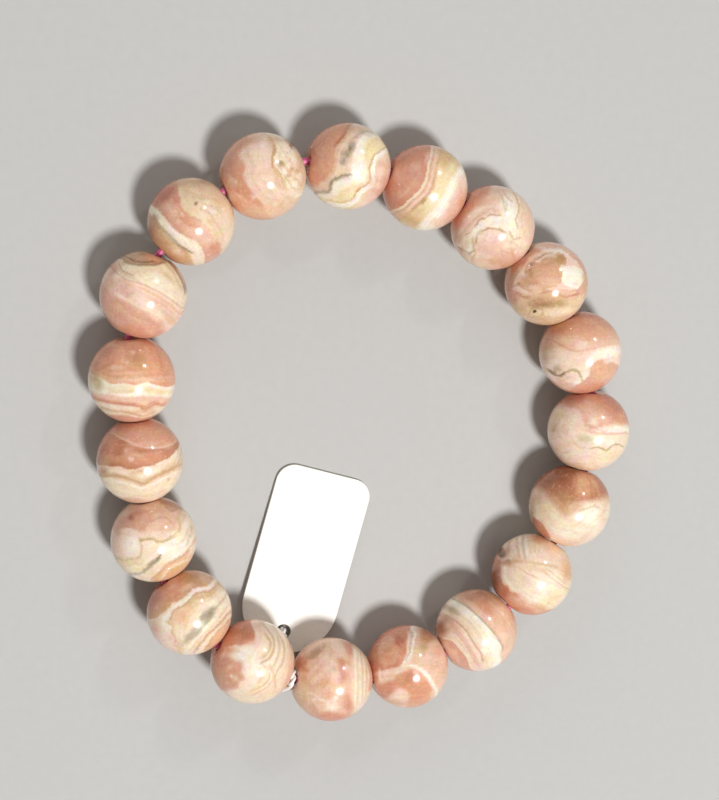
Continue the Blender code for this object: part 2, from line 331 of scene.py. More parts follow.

# Rose at the upper left, partly painted shade, then grey-green smears, milk and butter bands, and a pink
# right edge
BALLS[2] = ("salmon", [
    # painted shade: a darker mark on the left rim, partly the stone's own colour and partly the shade of the
    # ball's shaded side
    spot("rose", (-88, 25), (20, 60), 0.8, 0.9),
    spot("pink", (-50, 10), (24, 40), 0.7, 0.9, turn=-20),
    edge("oat", (-20, 10), [(12, 100), (0, 80), (-16, 60), (-27, 40), (-29, 14), (-30, -6), (-46, -26),
        (-70, -42), (-100, -50)], 0.25),
    vein("sienna", 0.4, [(4, 92), (-5, 74), (-16, 60), (-24, 50)], 1.0, 0.18),
    vein("golden", 0.2, [(10, 84), (2, 70), (-12, 52), (-20, 36)], 0.8, 0.2),
    vein("cream", 0.26, [(16, 84), (5, 66), (-10, 46), (-18, 20), (-20, -4), (-34, -20),
        (-58, -36)], 0.7, 0.25),
    vein("tan", 0.25, [(-24, 36), (-27, 10), (-31, -12), (-50, -30), (-78, -44)], 0.75, 0.16),
    edge("milk", (20, 0), [(80, 95), (56, 80), (36, 72), (20, 52), (13, 30), (6, 6), (6, -16), (-10, -28),
        (-28, -34), (-36, -46), (-44, -62), (-72, -64), (-100, -68)], 0.25),
    vein("sage", 0.34, [(66, 76), (50, 80), (34, 76), (20, 66)], 0.8, 0.2),
    spot("sage", (9, 42), (8, 12), 1.0, 0.3, turn=-30),
    spot("sage", (-2, 26), (10, 9), 1.0, 0.3, turn=30),
    spot("sage", (-9, 12), (9, 9), 1.0, 0.3),
    spot("umber", (6, 38), (4, 6), 0.6, 0.15),
    spot("umber", (-9, 17), (3.5, 5), 0.6, 0.2),
    spot("hazel", (-14, 26), (4, 12), 0.6, 0.2, turn=-20),
    spot("oat", (4, 10), (9, 10), 0.8, 0.3),
    vein("sage", 0.34, [(10, -20), (-8, -20), (-22, -26), (-35, -32), (-39, -43), (-41, -54), (-54, -57),
        (-72, -60)], 0.95, 0.2),
    vein("umber", 0.2, [(2, -19), (-14, -21), (-24, -27)], 0.62),
    vein("umber", 0.2, [(-38, -38), (-41, -50), (-46, -56)], 0.62),
    edge("butter", (50, 40), [(75, 75), (52, 62), (38, 48), (34, 20), (42, -2), (40, -32), (12, -40),
        (-12, -50), (-28, -66), (-70, -74)], 0.5),
    spot("milk", (30, -24), (16, 12), 0.8, 0.6),
    spot("cream", (12, -52), (24, 8), 0.6, 0.4, turn=15),
    vein("golden", 0.2, [(30, -50), (18, -60), (10, -74), (-12, -80), (-44, -77)], 0.8),
    vein("milk", 0.6, [(100, 34), (84, 32), (68, 18), (58, 0), (57, -20), (56, -42), (40, -52), (27, -62),
        (18, -78), (-10, -90), (-45, -86)], 1.0, 0.14),
    vein("hazel", 0.22, [(86, 40), (70, 30), (60, 20), (53, 6), (47.5, -4), (50, -18), (50, -35), (39, -45),
        (26, -50), (18, -62)], 0.77),
    edge("shell", (80, -10), [(100, 24), (84, 22), (70, 6), (66, -8), (67, -28), (62, -50), (46, -60),
        (36, -72), (24, -90), (10, -100)]),
    spot("pink", (80, -48), (28, 36), 0.8, 0.9),
    spot("blush", (80, -2), (14, 16), 1.0, 0.4),
    spot("cream", (88, 14), (6, 10), 0.6, 0.25),
    spot("shell", (74, -16), (8, 12), 0.7, 0.3, turn=-20),
    spot("salmon", (-34, 66), (10, 5), 0.6, 0.25, turn=45),
    # painted shade: a darker mark on the left rim, partly the stone's own colour and partly the shade of the
    # ball's shaded side
    spot("rose", (-66, -16), (14, 8), 0.5, 0.4, turn=-30),
    spot("sage", (-4, -25), (9, 5), 0.4, 0.3, turn=-10),
    spot("blush", (46, -72), (10, 7), 0.6, 0.4),
    # painted shade: a darker mark on the upper left rim, partly the stone's own colour and partly the shade
    # of the ball's shaded side
    spot("rose", (-65, 57), (14, 10), 0.6, 0.5),
    spot("sage", (42, 75), (12, 5), 0.4, 0.3, turn=-20),
    spot("shell", (67, -43), (8, 8), 0.6, 0.3),
    spot("tan", (8, 84), (10, 7), 0.6, 0.4),
])

# A rose cap on the left, edged by fine cream and rose stripes, then golden, milk and pink bands
BALLS[3] = ("rose", [
    # painted shade: a darker mark on the left rim, partly the stone's own colour and partly the shade of the
    # ball's shaded side
    spot("deep_rose", (-86, 20), (24, 60), 0.12, 0.9),
    spot("pink", (-36, 22), (34, 42), 0.9, 1.2, turn=-30),
    spot("blush", (-22, 50), (10, 8), 0.6, 0.5, turn=40),
    spot("blush", (-50, -10), (12, 6), 0.6, 0.5, turn=40),
    spot("blush", (-64, 30), (10, 14), 0.45, 0.5, turn=20),
    spot("rose", (-28, 66), (20, 8), 0.7, 0.5, turn=30),
    spot("rose", (-44, 8), (8, 14), 0.5, 0.4, turn=-30),
    edge("blush", (15, 10), [(22, 100), (16, 84), (9, 55), (3, 26), (-6, 6), (-25, -18), (-52, -40),
        (-78, -54), (-100, -60)], 0.1),
    vein("cream", 0.3, [(20, 92), (15, 72), (9, 48), (5, 22), (-5, 2), (-24, -20), (-52, -42),
        (-80, -56)], 1.0),
    vein("hazel", 0.2, [(22, 84), (16, 60), (13, 36), (5, 6), (-14, -18), (-42, -42), (-70, -60)], 0.62),
    vein("cream", 0.24, [(30, 74), (23, 50), (17, 20), (4, -8), (-18, -32), (-50, -58)], 0.6, 0.16),
    vein("hazel", 0.26, [(30, 56), (24, 30), (13, -4), (-6, -28), (-28, -48)], 0.8, 0.14),
    edge("butter", (40, 0), [(42, 100), (38, 84), (32, 58), (25, 26), (16, -4), (-4, -30), (-38, -62),
        (-60, -74), (-85, -82)], 0.12),
    vein("tan", 0.26, [(40, 90), (32, 58), (25, 27), (15, -6), (-4, -30), (-40, -62), (-66, -76)], 0.8, 0.18),
    spot("hazel", (-3, -30), (9, 4), 0.9, 0.15, turn=45),
    spot("golden", (48, 74), (16, 28), 0.8, 0.5, turn=-15),
    spot("golden", (-30, -76), (36, 13), 0.85, 0.5, turn=-28),
    spot("cream", (34, 6), (13, 34), 0.15, 0.6, turn=-25),
    spot("milk", (20, -30), (12, 10), 0.7, 0.5, turn=-40),
    edge("milk", (68, 8), [(98, 76), (85, 56), (69, 33), (52, 2), (36, -28), (10, -58), (-12, -84),
        (-25, -100)], 0.4),
    edge("shell", (92, -10), [(108, 52), (97, 34), (84, 12), (73, -10), (56, -42), (32, -72),
        (12, -100)], 0.3),
    vein("oat", 0.3, [(97, 40), (85, 14), (73, -8), (60, -34)], 0.7, 0.2),
    spot("pink", (80, -52), (22, 60), 0.9, 0.9, turn=-35),
    spot("salmon", (86, -36), (10, 16), 0.6, 0.4, turn=-30),
    spot("sand", (24, 40), (6, 12), 0.6, 0.3, turn=-15),
    spot("golden", (74, 60), (16, 10), 0.6, 0.4, turn=-50),
    spot("olive", (58, 62), (8, 16), 0.35, 0.4, turn=-25),
    spot("milk", (34, 34), (5, 9), 0.5, 0.3, turn=-20),
    spot("peach", (27, -81), (12, 8), 0.6, 0.4),
    spot("blush", (84, 9), (7, 14), 0.7),
    spot("shell", (6, 67), (5, 12), 0.6, 0.25, turn=-12),
    spot("golden", (-15, -54), (12, 8), 0.4, 0.4),
    # painted shade: a darker mark on the upper left rim, partly the stone's own colour and partly the shade
    # of the ball's shaded side
    spot("deep_rose", (-57, 64), (14, 12), 0.25, 0.5),
    spot("salmon", (84, -14), (7, 12), 0.4),
])

# Pink, with cream growth lines that arch over a pink eye and rise to a cream crest
BALLS[4] = ("rose", [
    spot("pink", (-70, 48), (22, 26), 0.8, 0.9, turn=-30),
    edge("shell", (-10, 60), [(2, 100), (-14, 72), (-40, 50), (-62, 28), (-80, 0), (-100, -15)], 0.5),
    spot("blush", (-12, 62), (26, 14), 0.9, 0.4, turn=10),
    vein("shell", 0.5, [(10, 50), (-16, 46), (-40, 32), (-60, 8), (-78, -16)], 0.6, 0.25),
    vein("tan", 0.34, [(12, 38), (-6, 42), (-24, 34), (-42, 18), (-62, -4), (-76, -28)], 0.6, 0.2),
    # painted shade: a darker mark on the left rim, partly the stone's own colour and partly the shade of the
    # ball's shaded side
    vein("hazel", 0.25, [(-72, 12), (-82, -6), (-88, -26)], 0.62, 0.25),
    edge("cream", (20, 10), [(50, 100), (30, 62), (16, 30), (4, 29), (-6, 32), (-14, 23), (-26, 24),
        (-34, 14), (-43, 0), (-58, -12), (-67, -28), (-68, -46), (-76, -70), (-90, -80)], 0.1),
    vein("hazel", 0.21, [(16, 27), (4, 27), (-5, 30), (-14, 21), (-26, 22), (-35, 12), (-43, -2),
        (-57, -14)]),
    vein("milk", 0.7, [(16, 17), (-2, 19), (-18, 11), (-32, 1), (-46, -14), (-56, -30),
        (-58, -52)], 1.0, 0.16),
    spot("milk", (40, 34), (18, 40), 0.95, 0.4, turn=8),
    spot("milk", (36, -2), (16, 14), 0.8, 0.5),
    patch("shell", [(-36, -22), (-28, -8), (-4, -2), (16, -6), (28, -20), (34, -44), (28, -72), (10, -90),
        (-20, -86), (-34, -66), (-40, -42)], 1.0, 0.3),
    spot("pink", (-2, -46), (24, 24), 0.5, 1.0),
    vein("hazel", 0.26, [(-38, -30), (-36, -20), (-29, -9), (-19, -5), (-4, 1), (13, -2), (26, -8)]),
    vein("tan", 0.2, [(-46, -26), (-46, -44), (-42, -62), (-50, -74)], 0.8, 0.2),
    edge("cream", (90, 0), [(60, 100), (60, 72), (63, 42), (58, 18), (62, -10), (60, -35), (70, -75)], 0.12),
    edge("blush", (95, 0), [(70, 100), (74, 60), (76, 10), (80, -30), (90, -60)], 0.7),
    vein("hazel", 0.22, [(54, 82), (58, 62), (63, 46), (60, 30), (55, 18), (58, 4)], 0.77),
    vein("hazel", 0.2, [(30, 80), (36, 70), (44, 64)], 0.72),
    vein("olive", 0.2, [(24, 66), (28, 52), (30, 40)], 0.62),
    spot("tan", (15, 84), (22, 12), 0.3, 0.5),
    vein("hazel", 0.2, [(42, -14), (50, -27), (62, -24)], 0.72),
    vein("tan", 0.2, [(36, -32), (48, -34), (56, -42)], 0.62),
    vein("tan", 0.2, [(30, -56), (44, -60), (52, -70)], 0.62),
    spot("salmon", (30, -86), (60, 18), 0.8, 0.6, turn=10),
    spot("pink", (40, -66), (34, 12), 0.7, 0.6, turn=10),
    spot("tan", (-2, -80), (20, 5), 0.6, 0.3, turn=-10),
    vein("umber", 0.21, [(-80, -46), (-68, -52), (-56, -58), (-48, -56)], 0.72),
    spot("tan", (-70, -62), (14, 8), 0.6, 0.4, turn=-40),
    vein("olive", 0.26, [(20, 76), (26, 62), (34, 56), (32, 44)], 0.6, 0.2),
    spot("sand", (-62, -38), (8, 14), 0.7, 0.3, turn=-15),
    vein("hazel", 0.22, [(-62, 2), (-50, 12), (-38, 22), (-26, 30), (-10, 36), (4, 36)], 0.5, 0.2),
    spot("hazel", (-76, -50), (8, 6), 0.6, 0.3, turn=-30),
    vein("tan", 0.24, [(68, 60), (72, 36), (68, 12), (74, -12)], 0.6, 0.2),
    spot("milk", (8, 8), (16, 6), 0.7, 0.2, turn=-8),
    vein("tan", 0.34, [(-88, 4), (-72, 28), (-50, 46), (-24, 58)], 0.6, 0.2),
    vein("salmon", 0.4, [(-94, 18), (-78, 42), (-56, 60), (-32, 74)], 0.7, 0.25),
    vein("milk", 0.26, [(-66, 16), (-50, 32), (-30, 44), (-8, 50)], 0.6, 0.2),
    vein("milk", 0.3, [(-34, -16), (-18, 2), (0, 8), (18, 4)], 0.7, 0.16),
    spot("blush", (-60, 62), (20, 9), 0.5, 0.5, turn=42),
    spot("rose", (-31, 67), (14, 8), 0.6, 0.4, turn=25),
    # painted shade: a darker mark on the left rim, partly the stone's own colour and partly the shade of the
    # ball's shaded side
    spot("hazel", (-83, -20), (8, 14), 0.5, 0.4),
    spot("peach", (-38, -77), (14, 8), 0.6, 0.4, turn=-15),
    spot("rose", (-48, 50), (9, 6), 0.5, turn=40),
    spot("shell", (63, -58), (10, 8), 0.6),
    spot("tan", (-27, -13), (8, 4), 0.5, 0.25, turn=30),
])

# A tan lens in a pale ring with one milk-white crystal, over an olive streak with a small pit
BALLS[5] = ("pink", [
    # painted shade: a darker mark on the left rim, partly the stone's own colour and partly the shade of the
    # ball's shaded side
    spot("rose", (-86, -36), (22, 42), 0.8, 0.8, turn=25),
    # painted shade: a darker mark on the left rim, partly the stone's own colour and partly the shade of the
    # ball's shaded side
    spot("tan", (-84, 26), (12, 34), 0.8, 0.5, turn=-25),
    spot("blush", (30, 90), (60, 16), 0.9, 0.6, turn=-15),
    spot("oat", (-40, 84), (30, 10), 0.7, 0.4, turn=30),
    patch("shell", [(-80, -10), (-72, 6), (-66, 22), (-54, 40), (-42, 58), (-22, 72), (4, 80), (30, 80),
        (56, 66), (78, 44), (92, 10), (70, -16), (30, -14), (0, -24), (-40, -30), (-70, -24)], 0.95, 0.14),
    spot("milk", (20, 76), (26, 5), 0.7, 0.25, turn=-14),
    spot("milk", (-60, 22), (6, 16), 0.6, 0.25, turn=-28),
    patch("tan", [(-68, 0), (-56, 12), (-44, 16), (-46, 32), (-34, 40), (-28, 50), (-14, 50), (-2, 60),
        (10, 62), (24, 71), (40, 68), (50, 56), (44, 42), (36, 36), (42, 20), (44, 6), (22, -6), (0, -14),
        (-22, -24), (-40, -20), (-54, -12)], 0.95, 0.1),
    spot("pink", (-2, 18), (30, 22), 0.8, 1.0, turn=15),
    spot("blush", (16, 2), (26, 10), 0.8, 0.5, turn=-8),
    spot("blush", (-30, -12), (20, 8), 0.7, 0.4, turn=-15),
    spot("hazel", (34, 57), (12, 11), 0.8, 0.3),
    spot("hazel", (4, 46), (14, 5), 0.5, 0.3, turn=25),
    spot("hazel", (-34, 26), (5, 10), 0.5, 0.25),
    vein("hazel", 0.25, [(-72, -2), (-60, 4), (-50, 16), (-48, 32), (-38, 44), (-30, 52)], 0.72, 0.16),
    vein("sage", 0.26, [(-36, 50), (-26, 58), (-14, 62), (0, 70), (16, 74)], 0.7, 0.2),
    vein("umber", 0.2, [(-16, 62), (0, 70), (12, 72)], 0.62),
    vein("sage", 0.23, [(-2, 58), (8, 64), (18, 62)], 0.75),
    spot("cream", (-62, 34), (5, 12), 0.7, 0.25, turn=-30),
    patch("milk", [(36, 42), (50, 38), (65, 40), (80, 34), (90, 24), (84, 14), (88, 4), (80, -10), (71, -16),
        (60, -8), (48, -6), (38, 2), (36, 14), (42, 24)], 1.0, 0.1),
    spot("shell", (70, 2), (8, 12), 0.5, 0.3),
    edge("blush", (-30, -35), [(-100, -16), (-70, -18), (-40, -22), (-10, -20), (20, -14), (50, -18),
        (70, -20), (100, -30)], 0.25),
    edge("pink", (-90, -50), [(-95, -10), (-80, -30), (-66, -42), (-50, -62), (-40, -100)], 0.5),
    edge("sand", (0, -70), [(-100, -52), (-60, -42), (-30, -28), (0, -24), (30, -30), (55, -36), (80, -34),
        (100, -36)], 0.3),
    vein("sienna", 0.26, [(-68, -20), (-46, -32), (-24, -25), (0, -18), (18, -20), (36, -28), (50, -31),
        (74, -28)], 0.9, 0.18),
    spot("tan", (4, -34), (42, 10), 0.9, 0.5, turn=-4),
    spot("hazel", (-5, -48), (40, 10), 0.85, 0.4, turn=2),
    spot("umber", (-2, -50), (26, 4), 0.45, 0.3, turn=2),
    spot("olive", (30, -50), (24, 6), 0.7, 0.3),
    spot("hazel", (-22, -40), (12, 8), 0.7, 0.4),
    spot("golden", (-58, -62), (20, 10), 0.6, 0.4, turn=-35),
    spot("cream", (34, -68), (46, 9), 0.7, 0.3, turn=8),
    vein("hazel", 0.2, [(-40, -68), (-34, -58), (-20, -58), (-10, -66), (-14, -76), (-30, -78)], 0.72),
    spot("cream", (-16, -66), (7, 5), 0.7, 0.2),
    spot("hazel", (10, -82), (40, 6), 0.6, 0.3, turn=4),
    spot("tan", (-20, -92), (50, 10), 0.6, 0.4),
    spot("pit", (-28, -64.5), (4.5, 3.5), 0.95, 0.08),
    spot("golden", (97, -12), (10, 50), 0.7, 0.4),
    spot("umber", (-34, 46), (4, 2.5), 0.6, 0.15, turn=40),
    spot("umber", (-38, 36), (2.5, 4), 0.5, 0.15),
    spot("umber", (-20, 60), (5, 2), 0.5, 0.15, turn=15),
    spot("umber", (16, 68), (6, 2), 0.5, 0.15, turn=-10),
    spot("umber", (-64, 4), (3, 4), 0.4, 0.15),
    spot("milk", (66, 16), (14, 14), 0.9, 0.3),
    spot("shell", (-36, -8), (10, 6), 0.5, 0.3, turn=-10),
    spot("shell", (-34, -25), (14, 6), 0.5, 0.4, turn=-8),
    spot("cream", (30, -78), (30, 8), 0.4, 0.5, turn=6),
    spot("shell", (-52, 67), (16, 8), turn=40),
    spot("shell", (16, 67), (10, 6), 0.7, 0.3, turn=-15),
    # painted shade: a darker mark on the left rim, partly the stone's own colour and partly the shade of the
    # ball's shaded side
    spot("rose", (-80, -29), (10, 14), 0.7, 0.4, turn=20),
    spot("tan", (39, 44), (7, 7), 0.4, 0.3),
    spot("shell", (-29, 63), (9, 6), 0.6, 0.3, turn=30),
    spot("blush", (-59, 11), (9, 8), 0.7, 0.3),
])

# Salmon above and pale pink below, with a white band over a salmon disc and a wavy olive vein
BALLS[6] = ("salmon", [
    # painted shade: a darker mark on the upper left rim, partly the stone's own colour and partly the shade
    # of the ball's shaded side
    spot("rose", (-60, 56), (30, 26), 0.9, 0.9, turn=40),
    spot("rose", (15, 90), (60, 14), 0.9, 0.7),
    spot("pink", (30, 64), (30, 16), 0.7, 0.9),
    spot("peach", (66, 42), (24, 12), 0.6, 0.6, turn=-20),
    edge("blush", (10, 10), [(-100, 20), (-75, 34), (-50, 44), (-10, 42), (30, 34), (70, 36),
        (100, 34)], 1.0),
    spot("pink", (-80, 18), (16, 22), 0.8, 0.6),
    # painted shade: a darker mark on the left rim, partly the stone's own colour and partly the shade of the
    # ball's shaded side
    spot("tan", (-74, 0), (14, 16), 0.7, 0.6),
    spot("shell", (6, 15), (16, 12), 0.9, 0.3, turn=10),
    spot("peach", (-40, 24), (26, 8), 0.7, 0.5, turn=-25),
    vein("rose", 0.23, [(-74, 36), (-60, 30), (-43, 19), (-22, 7), (0, 4), (24, 7)], 0.72),
    edge("shell", (20, -30), [(-100, 2), (-60, 8), (-30, 0), (0, -4), (30, 4), (70, 12), (100, 18)], 0.7),
    spot("milk", (-58, -14), (34, 18), 0.6, 0.8, turn=-8),
    spot("milk", (66, -3), (36, 12), 1.0, 0.4, turn=8),
    spot("shell", (-10, -20), (30, 16), 0.8, 0.8, turn=-20),
    vein("milk", 0.9, [(44, -6), (28, -22), (20, -38), (10, -56), (-5, -72), (-30, -80)], 0.95, 0.3),
    vein("milk", 0.4, [(-30, -80), (-56, -68), (-74, -50)], 0.8, 0.25),
    spot("shell", (-25, -58), (20, 15), 0.8, 0.3, turn=-10),
    spot("olive", (-56, -36), (9, 8), 0.7),
    vein("olive", 0.32, [(-76, -42), (-66, -48), (-52, -54), (-39, -48), (-26, -41), (-11, -43), (-3, -52),
        (2, -64)], 0.95, 0.16),
    vein("pit", 0.2, [(-72, -44), (-62, -51), (-52, -54), (-44, -50)], 0.8, 0.14),
    vein("olive", 0.21, [(-62, -60), (-46, -66), (-32, -60)], 0.52),
    patch("pink", [(24, -34), (32, -26), (45, -21), (65, -20), (82, -28), (100, -50), (70, -90), (30, -110),
        (-30, -110), (-20, -84), (6, -68), (20, -52)], 0.95),
    spot("peach", (48, -46), (28, 20), 0.7, 0.9, turn=-25),
    spot("rose", (20, -92), (50, 14), 0.9, 0.6, turn=10),
    edge("rose", (-80, -70), [(-100, -44), (-76, -58), (-55, -78), (-25, -92), (10, -110)], 0.4),
    spot("umber", (-66, -46), (5, 3), 0.7, 0.2, turn=-30),
    spot("umber", (-46, -54), (7, 3), 0.6, 0.2, turn=10),
    vein("olive", 0.26, [(-62, -44), (-58, -36), (-52, -38)], 0.7, 0.16),
    spot("shell", (-36, -24), (14, 8), 0.6, 0.4, turn=-10),
    spot("salmon", (-40, 60), (16, 8), 0.5, 0.4, turn=30),
    spot("milk", (-6, -66), (8, 6), 0.7, 0.2, turn=40),
    spot("blush", (-44, -76), (14, 6), 0.6, 0.3, turn=-25),
    spot("shell", (7, 13), (18, 9), 0.6, 0.5, turn=-10),
    # painted shade: a darker mark on the left rim, partly the stone's own colour and partly the shade of the
    # ball's shaded side
    spot("tan", (-74, 2), (12, 18), 0.45, 0.5),
    spot("pink", (-28, -81), (18, 9), 0.8, 0.4, turn=-15),
    spot("pink", (-50, -69), (12, 9), 0.7, 0.4, turn=-35),
    spot("blush", (-24, 81), (14, 6), 0.6, 0.4, turn=12),
    spot("peach", (-45, 72), (12, 7), 0.6, 0.4, turn=30),
    # painted shade: a darker mark on the left rim, partly the stone's own colour and partly the shade of the
    # ball's shaded side
    spot("hazel", (-86, -5), (7, 16), 0.5, 0.4),
    spot("milk", (67, -22), (8, 5), 0.7, 0.25),
])

# A rose cap on cream, with a white and rose band, a grey-green spot and a wavy olive vein
BALLS[7] = ("pink", [
    # painted shade: a darker mark on the upper left rim, partly the stone's own colour and partly the shade
    # of the ball's shaded side
    spot("rose", (-50, 86), (40, 22), 0.8, 0.8, turn=25),
    spot("rose", (62, 56), (32, 30), 0.8, 0.9, turn=-50),
    spot("sienna", (80, 36), (14, 24), 0.7, 0.6, turn=15),
    spot("deep_rose", (52, 74), (16, 8), 0.4, 0.5, turn=-30),
    spot("apricot", (26, 74), (14, 12), 0.7, 0.5),
    spot("shell", (-20, 80), (6, 4), 0.6, 0.2, turn=20),
    spot("shell", (-2, 70), (5, 4), 0.5, 0.2),
    spot("blush", (12, 36), (36, 20), 0.9, 0.9, turn=-20),
    edge("shell", (-20, -10), [(-100, 56), (-80, 66), (-56, 62), (-34, 50), (-18, 34), (-10, 14), (6, 4),
        (30, 6), (60, 12), (100, 12)], 0.35),
    spot("shell", (-38, 26), (24, 30), 1.0, 0.4, turn=20),
    spot("shell", (-28, 26), (14, 22), 0.8, 0.6, turn=20),
    spot("butter", (-64, 42), (13, 12), 0.9, 0.5, turn=30),
    spot("sand", (-82, 16), (10, 24), 0.7, 0.5, turn=-10),
    spot("blush", (-10, 2), (14, 7), 0.6, 0.4, turn=-20),
    edge("cream", (30, -30), [(-100, -30), (-60, -20), (-26, -10), (0, -6), (20, -10), (50, -12), (80, -12),
        (100, -10)], 0.5),
    spot("milk", (70, 0), (40, 8), 0.9, 0.25),
    vein("salmon", 0.2, [(2, -4), (20, -8), (50, -12), (94, -10)], 0.75, 0.16),
    spot("milk", (20, -26), (40, 10), 0.7, 0.5),
    spot("shell", (-60, -30), (30, 30), 0.8, 0.7, turn=-20),
    spot("blush", (-72, -42), (10, 14), 0.7, 0.5),
    spot("olive", (-10, -20), (18, 9), 0.6, 0.4, turn=-12),
    vein("olive", 0.2, [(-10, -40), (6, -42), (22, -40), (41, -50), (52, -40), (65, -37), (78, -42)], 0.93),
    spot("butter", (46, -66), (34, 12), 0.4, 0.5, turn=15),
    spot("peach", (11, -62), (12, 8), 0.6, 0.4),
    spot("milk", (-20, -56), (24, 16), 0.6, 0.6, turn=-15),
    # painted shade: a darker mark on the left rim, partly the stone's own colour and partly the shade of the
    # ball's shaded side
    spot("hazel", (-84, 4), (5, 4), 0.6, 0.15),
    spot("hazel", (-68, -14), (3, 3), 0.5, 0.15),
    vein("tan", 0.21, [(-74, -44), (-64, -52), (-54, -50)], 0.72),
    spot("tan", (-30, -86), (22, 8), 0.8, 0.3, turn=-14),
    spot("pink", (-66, -72), (16, 8), 0.6, 0.4, turn=-40),
    spot("milk", (14, 18), (10, 8), 0.5, 0.3),
    spot("apricot", (80, 22), (10, 12), 0.7, 0.4),
    vein("tan", 0.22, [(-58, -4), (-44, -14), (-34, -30), (-20, -40), (-8, -48)], 0.6, 0.2),
    vein("sand", 0.24, [(-26, -32), (-6, -34), (14, -32), (36, -34)], 0.7, 0.2),
    spot("peach", (60, -62), (14, 7), 0.3, 0.4, turn=20),
    spot("hazel", (-52, -66), (4, 3), 0.4, 0.15),
    spot("shell", (-20, -64), (40, 20), 0.7, 0.8, turn=-10),
    spot("shell", (-60, -6), (20, 16), 0.7, 0.8),
    spot("blush", (-42, 38), (14, 10), 0.35, 0.5, turn=20),
    spot("blush", (3, 84), (14, 7), 0.8, 0.4),
    spot("pink", (-21, 81), (12, 8), 0.8, 0.4),
    # painted shade: a darker mark on the left rim, partly the stone's own colour and partly the shade of the
    # ball's shaded side
    spot("hazel", (-85, 8), (7, 12), 0.4),
    spot("rose", (50, 69), (10, 8), 0.6, 0.4),
    spot("apricot", (79, 34), (9, 9), 0.5, 0.4),
])

# A brown-orange cap that comes to a point over cream
BALLS[8] = ("sienna", [
    spot("rust", (-30, 86), (70, 30), 0.7, 0.8),
    spot("rust", (-14, 50), (40, 22), 0.25, 1.0, turn=5),
    spot("apricot", (40, 48), (26, 30), 0.9, 0.7, turn=10),
    vein("cream", 0.2, [(26, 72), (32, 56), (28, 40)], 0.4, 0.25),
    vein("rust", 0.23, [(16, 80), (20, 56), (14, 36)], 0.52, 0.2),
    vein("rust", 0.23, [(48, 66), (56, 44), (54, 24)], 0.62, 0.2),
    vein("sand", 0.23, [(60, 60), (70, 40), (72, 24)], 0.62, 0.2),
    spot("hazel", (0, 10), (30, 14), 0.7, 0.6, turn=-20),
    edge("oat", (-70, 0), [(-100, 50), (-73, 44), (-54, 32), (-38, 12), (-20, -10), (-6, -18), (6, -14),
        (17, -4), (34, 6), (60, 10), (100, 12)], 0.7),
    spot("tan", (-4, -6), (24, 14), 0.8, 0.8, turn=-10),
    edge("cream", (10, -60), [(-100, 0), (-75, 14), (-52, 10), (-34, -10), (-14, -26), (6, -26), (22, -8),
        (41, 4), (70, 6), (100, 4)], 0.6),
    spot("milk", (44, -24), (40, 22), 0.9, 0.7, turn=-20),
    spot("milk", (0, -66), (46, 16), 0.7, 0.7, turn=-10),
    spot("sand", (-62, -10), (14, 22), 0.6, 0.7, turn=-20),
    vein("tan", 0.2, [(26, -12), (38, -9), (58, -4), (70, -8)], 0.8, 0.16),
    vein("tan", 0.23, [(88, -2), (80, -20), (66, -34)], 0.62, 0.2),
    vein("peach", 0.3, [(-56, -24), (-36, -46), (-16, -56), (10, -66), (36, -66)], 0.5, 0.3),
    vein("butter", 0.3, [(-30, -32), (-10, -44), (16, -50), (44, -52)], 0.5, 0.3),
    # painted shade: a darker mark on the left rim, partly the stone's own colour and partly the shade of the
    # ball's shaded side
    spot("hazel", (-94, 6), (10, 34), 0.7, 0.4),
    patch("rose", [(-92, -22), (-80, -28), (-68, -38), (-58, -56), (-50, -76), (-66, -78), (-90, -55)]),
    vein("shell", 0.34, [(-84, -20), (-66, -34), (-54, -54), (-40, -72), (-10, -86)], 0.9, 0.2),
    spot("blush", (-20, -92), (40, 10), 0.7, 0.4, turn=-12),
    spot("golden", (8, -10), (18, 8), 0.7, 0.5, turn=10),
    vein("cream", 0.22, [(44, 62), (50, 46), (44, 34)], 0.3, 0.25),
    # painted shade: a darker mark on the upper left rim, partly the stone's own colour and partly the shade
    # of the ball's shaded side
    spot("rust", (-50, 62), (16, 12), 0.5, 0.6, turn=30),
    vein("sand", 0.24, [(14, 70), (18, 56), (10, 42)], 0.3, 0.25),
    spot("hazel", (-14, 22), (16, 12), 0.6, 0.5, turn=-30),
    vein("rust", 0.24, [(-6, 78), (-4, 60), (-10, 44)], 0.3, 0.25),
    spot("sienna", (-34, 30), (18, 10), 0.6, 0.6, turn=-40),
    spot("golden", (42, 44), (20, 22), 0.35, 0.6, turn=10),
    # painted shade: a darker mark on the left rim, partly the stone's own colour and partly the shade of the
    # ball's shaded side
    spot("tan", (-74, 18), (12, 14), 0.4, 0.6),
    spot("oat", (29, -81), (16, 8), 0.8, 0.5, turn=15),
    spot("oat", (0, -86), (18, 7), 0.8, 0.4),
    spot("tan", (-35, 18), (12, 8), 0.7, 0.5, turn=-40),
    spot("oat", (78, -36), (9, 14), 0.7, 0.4),
    spot("tan", (21, 0), (8, 6), 0.6),
    spot("sand", (85, 5), (7, 10), 0.7),
])

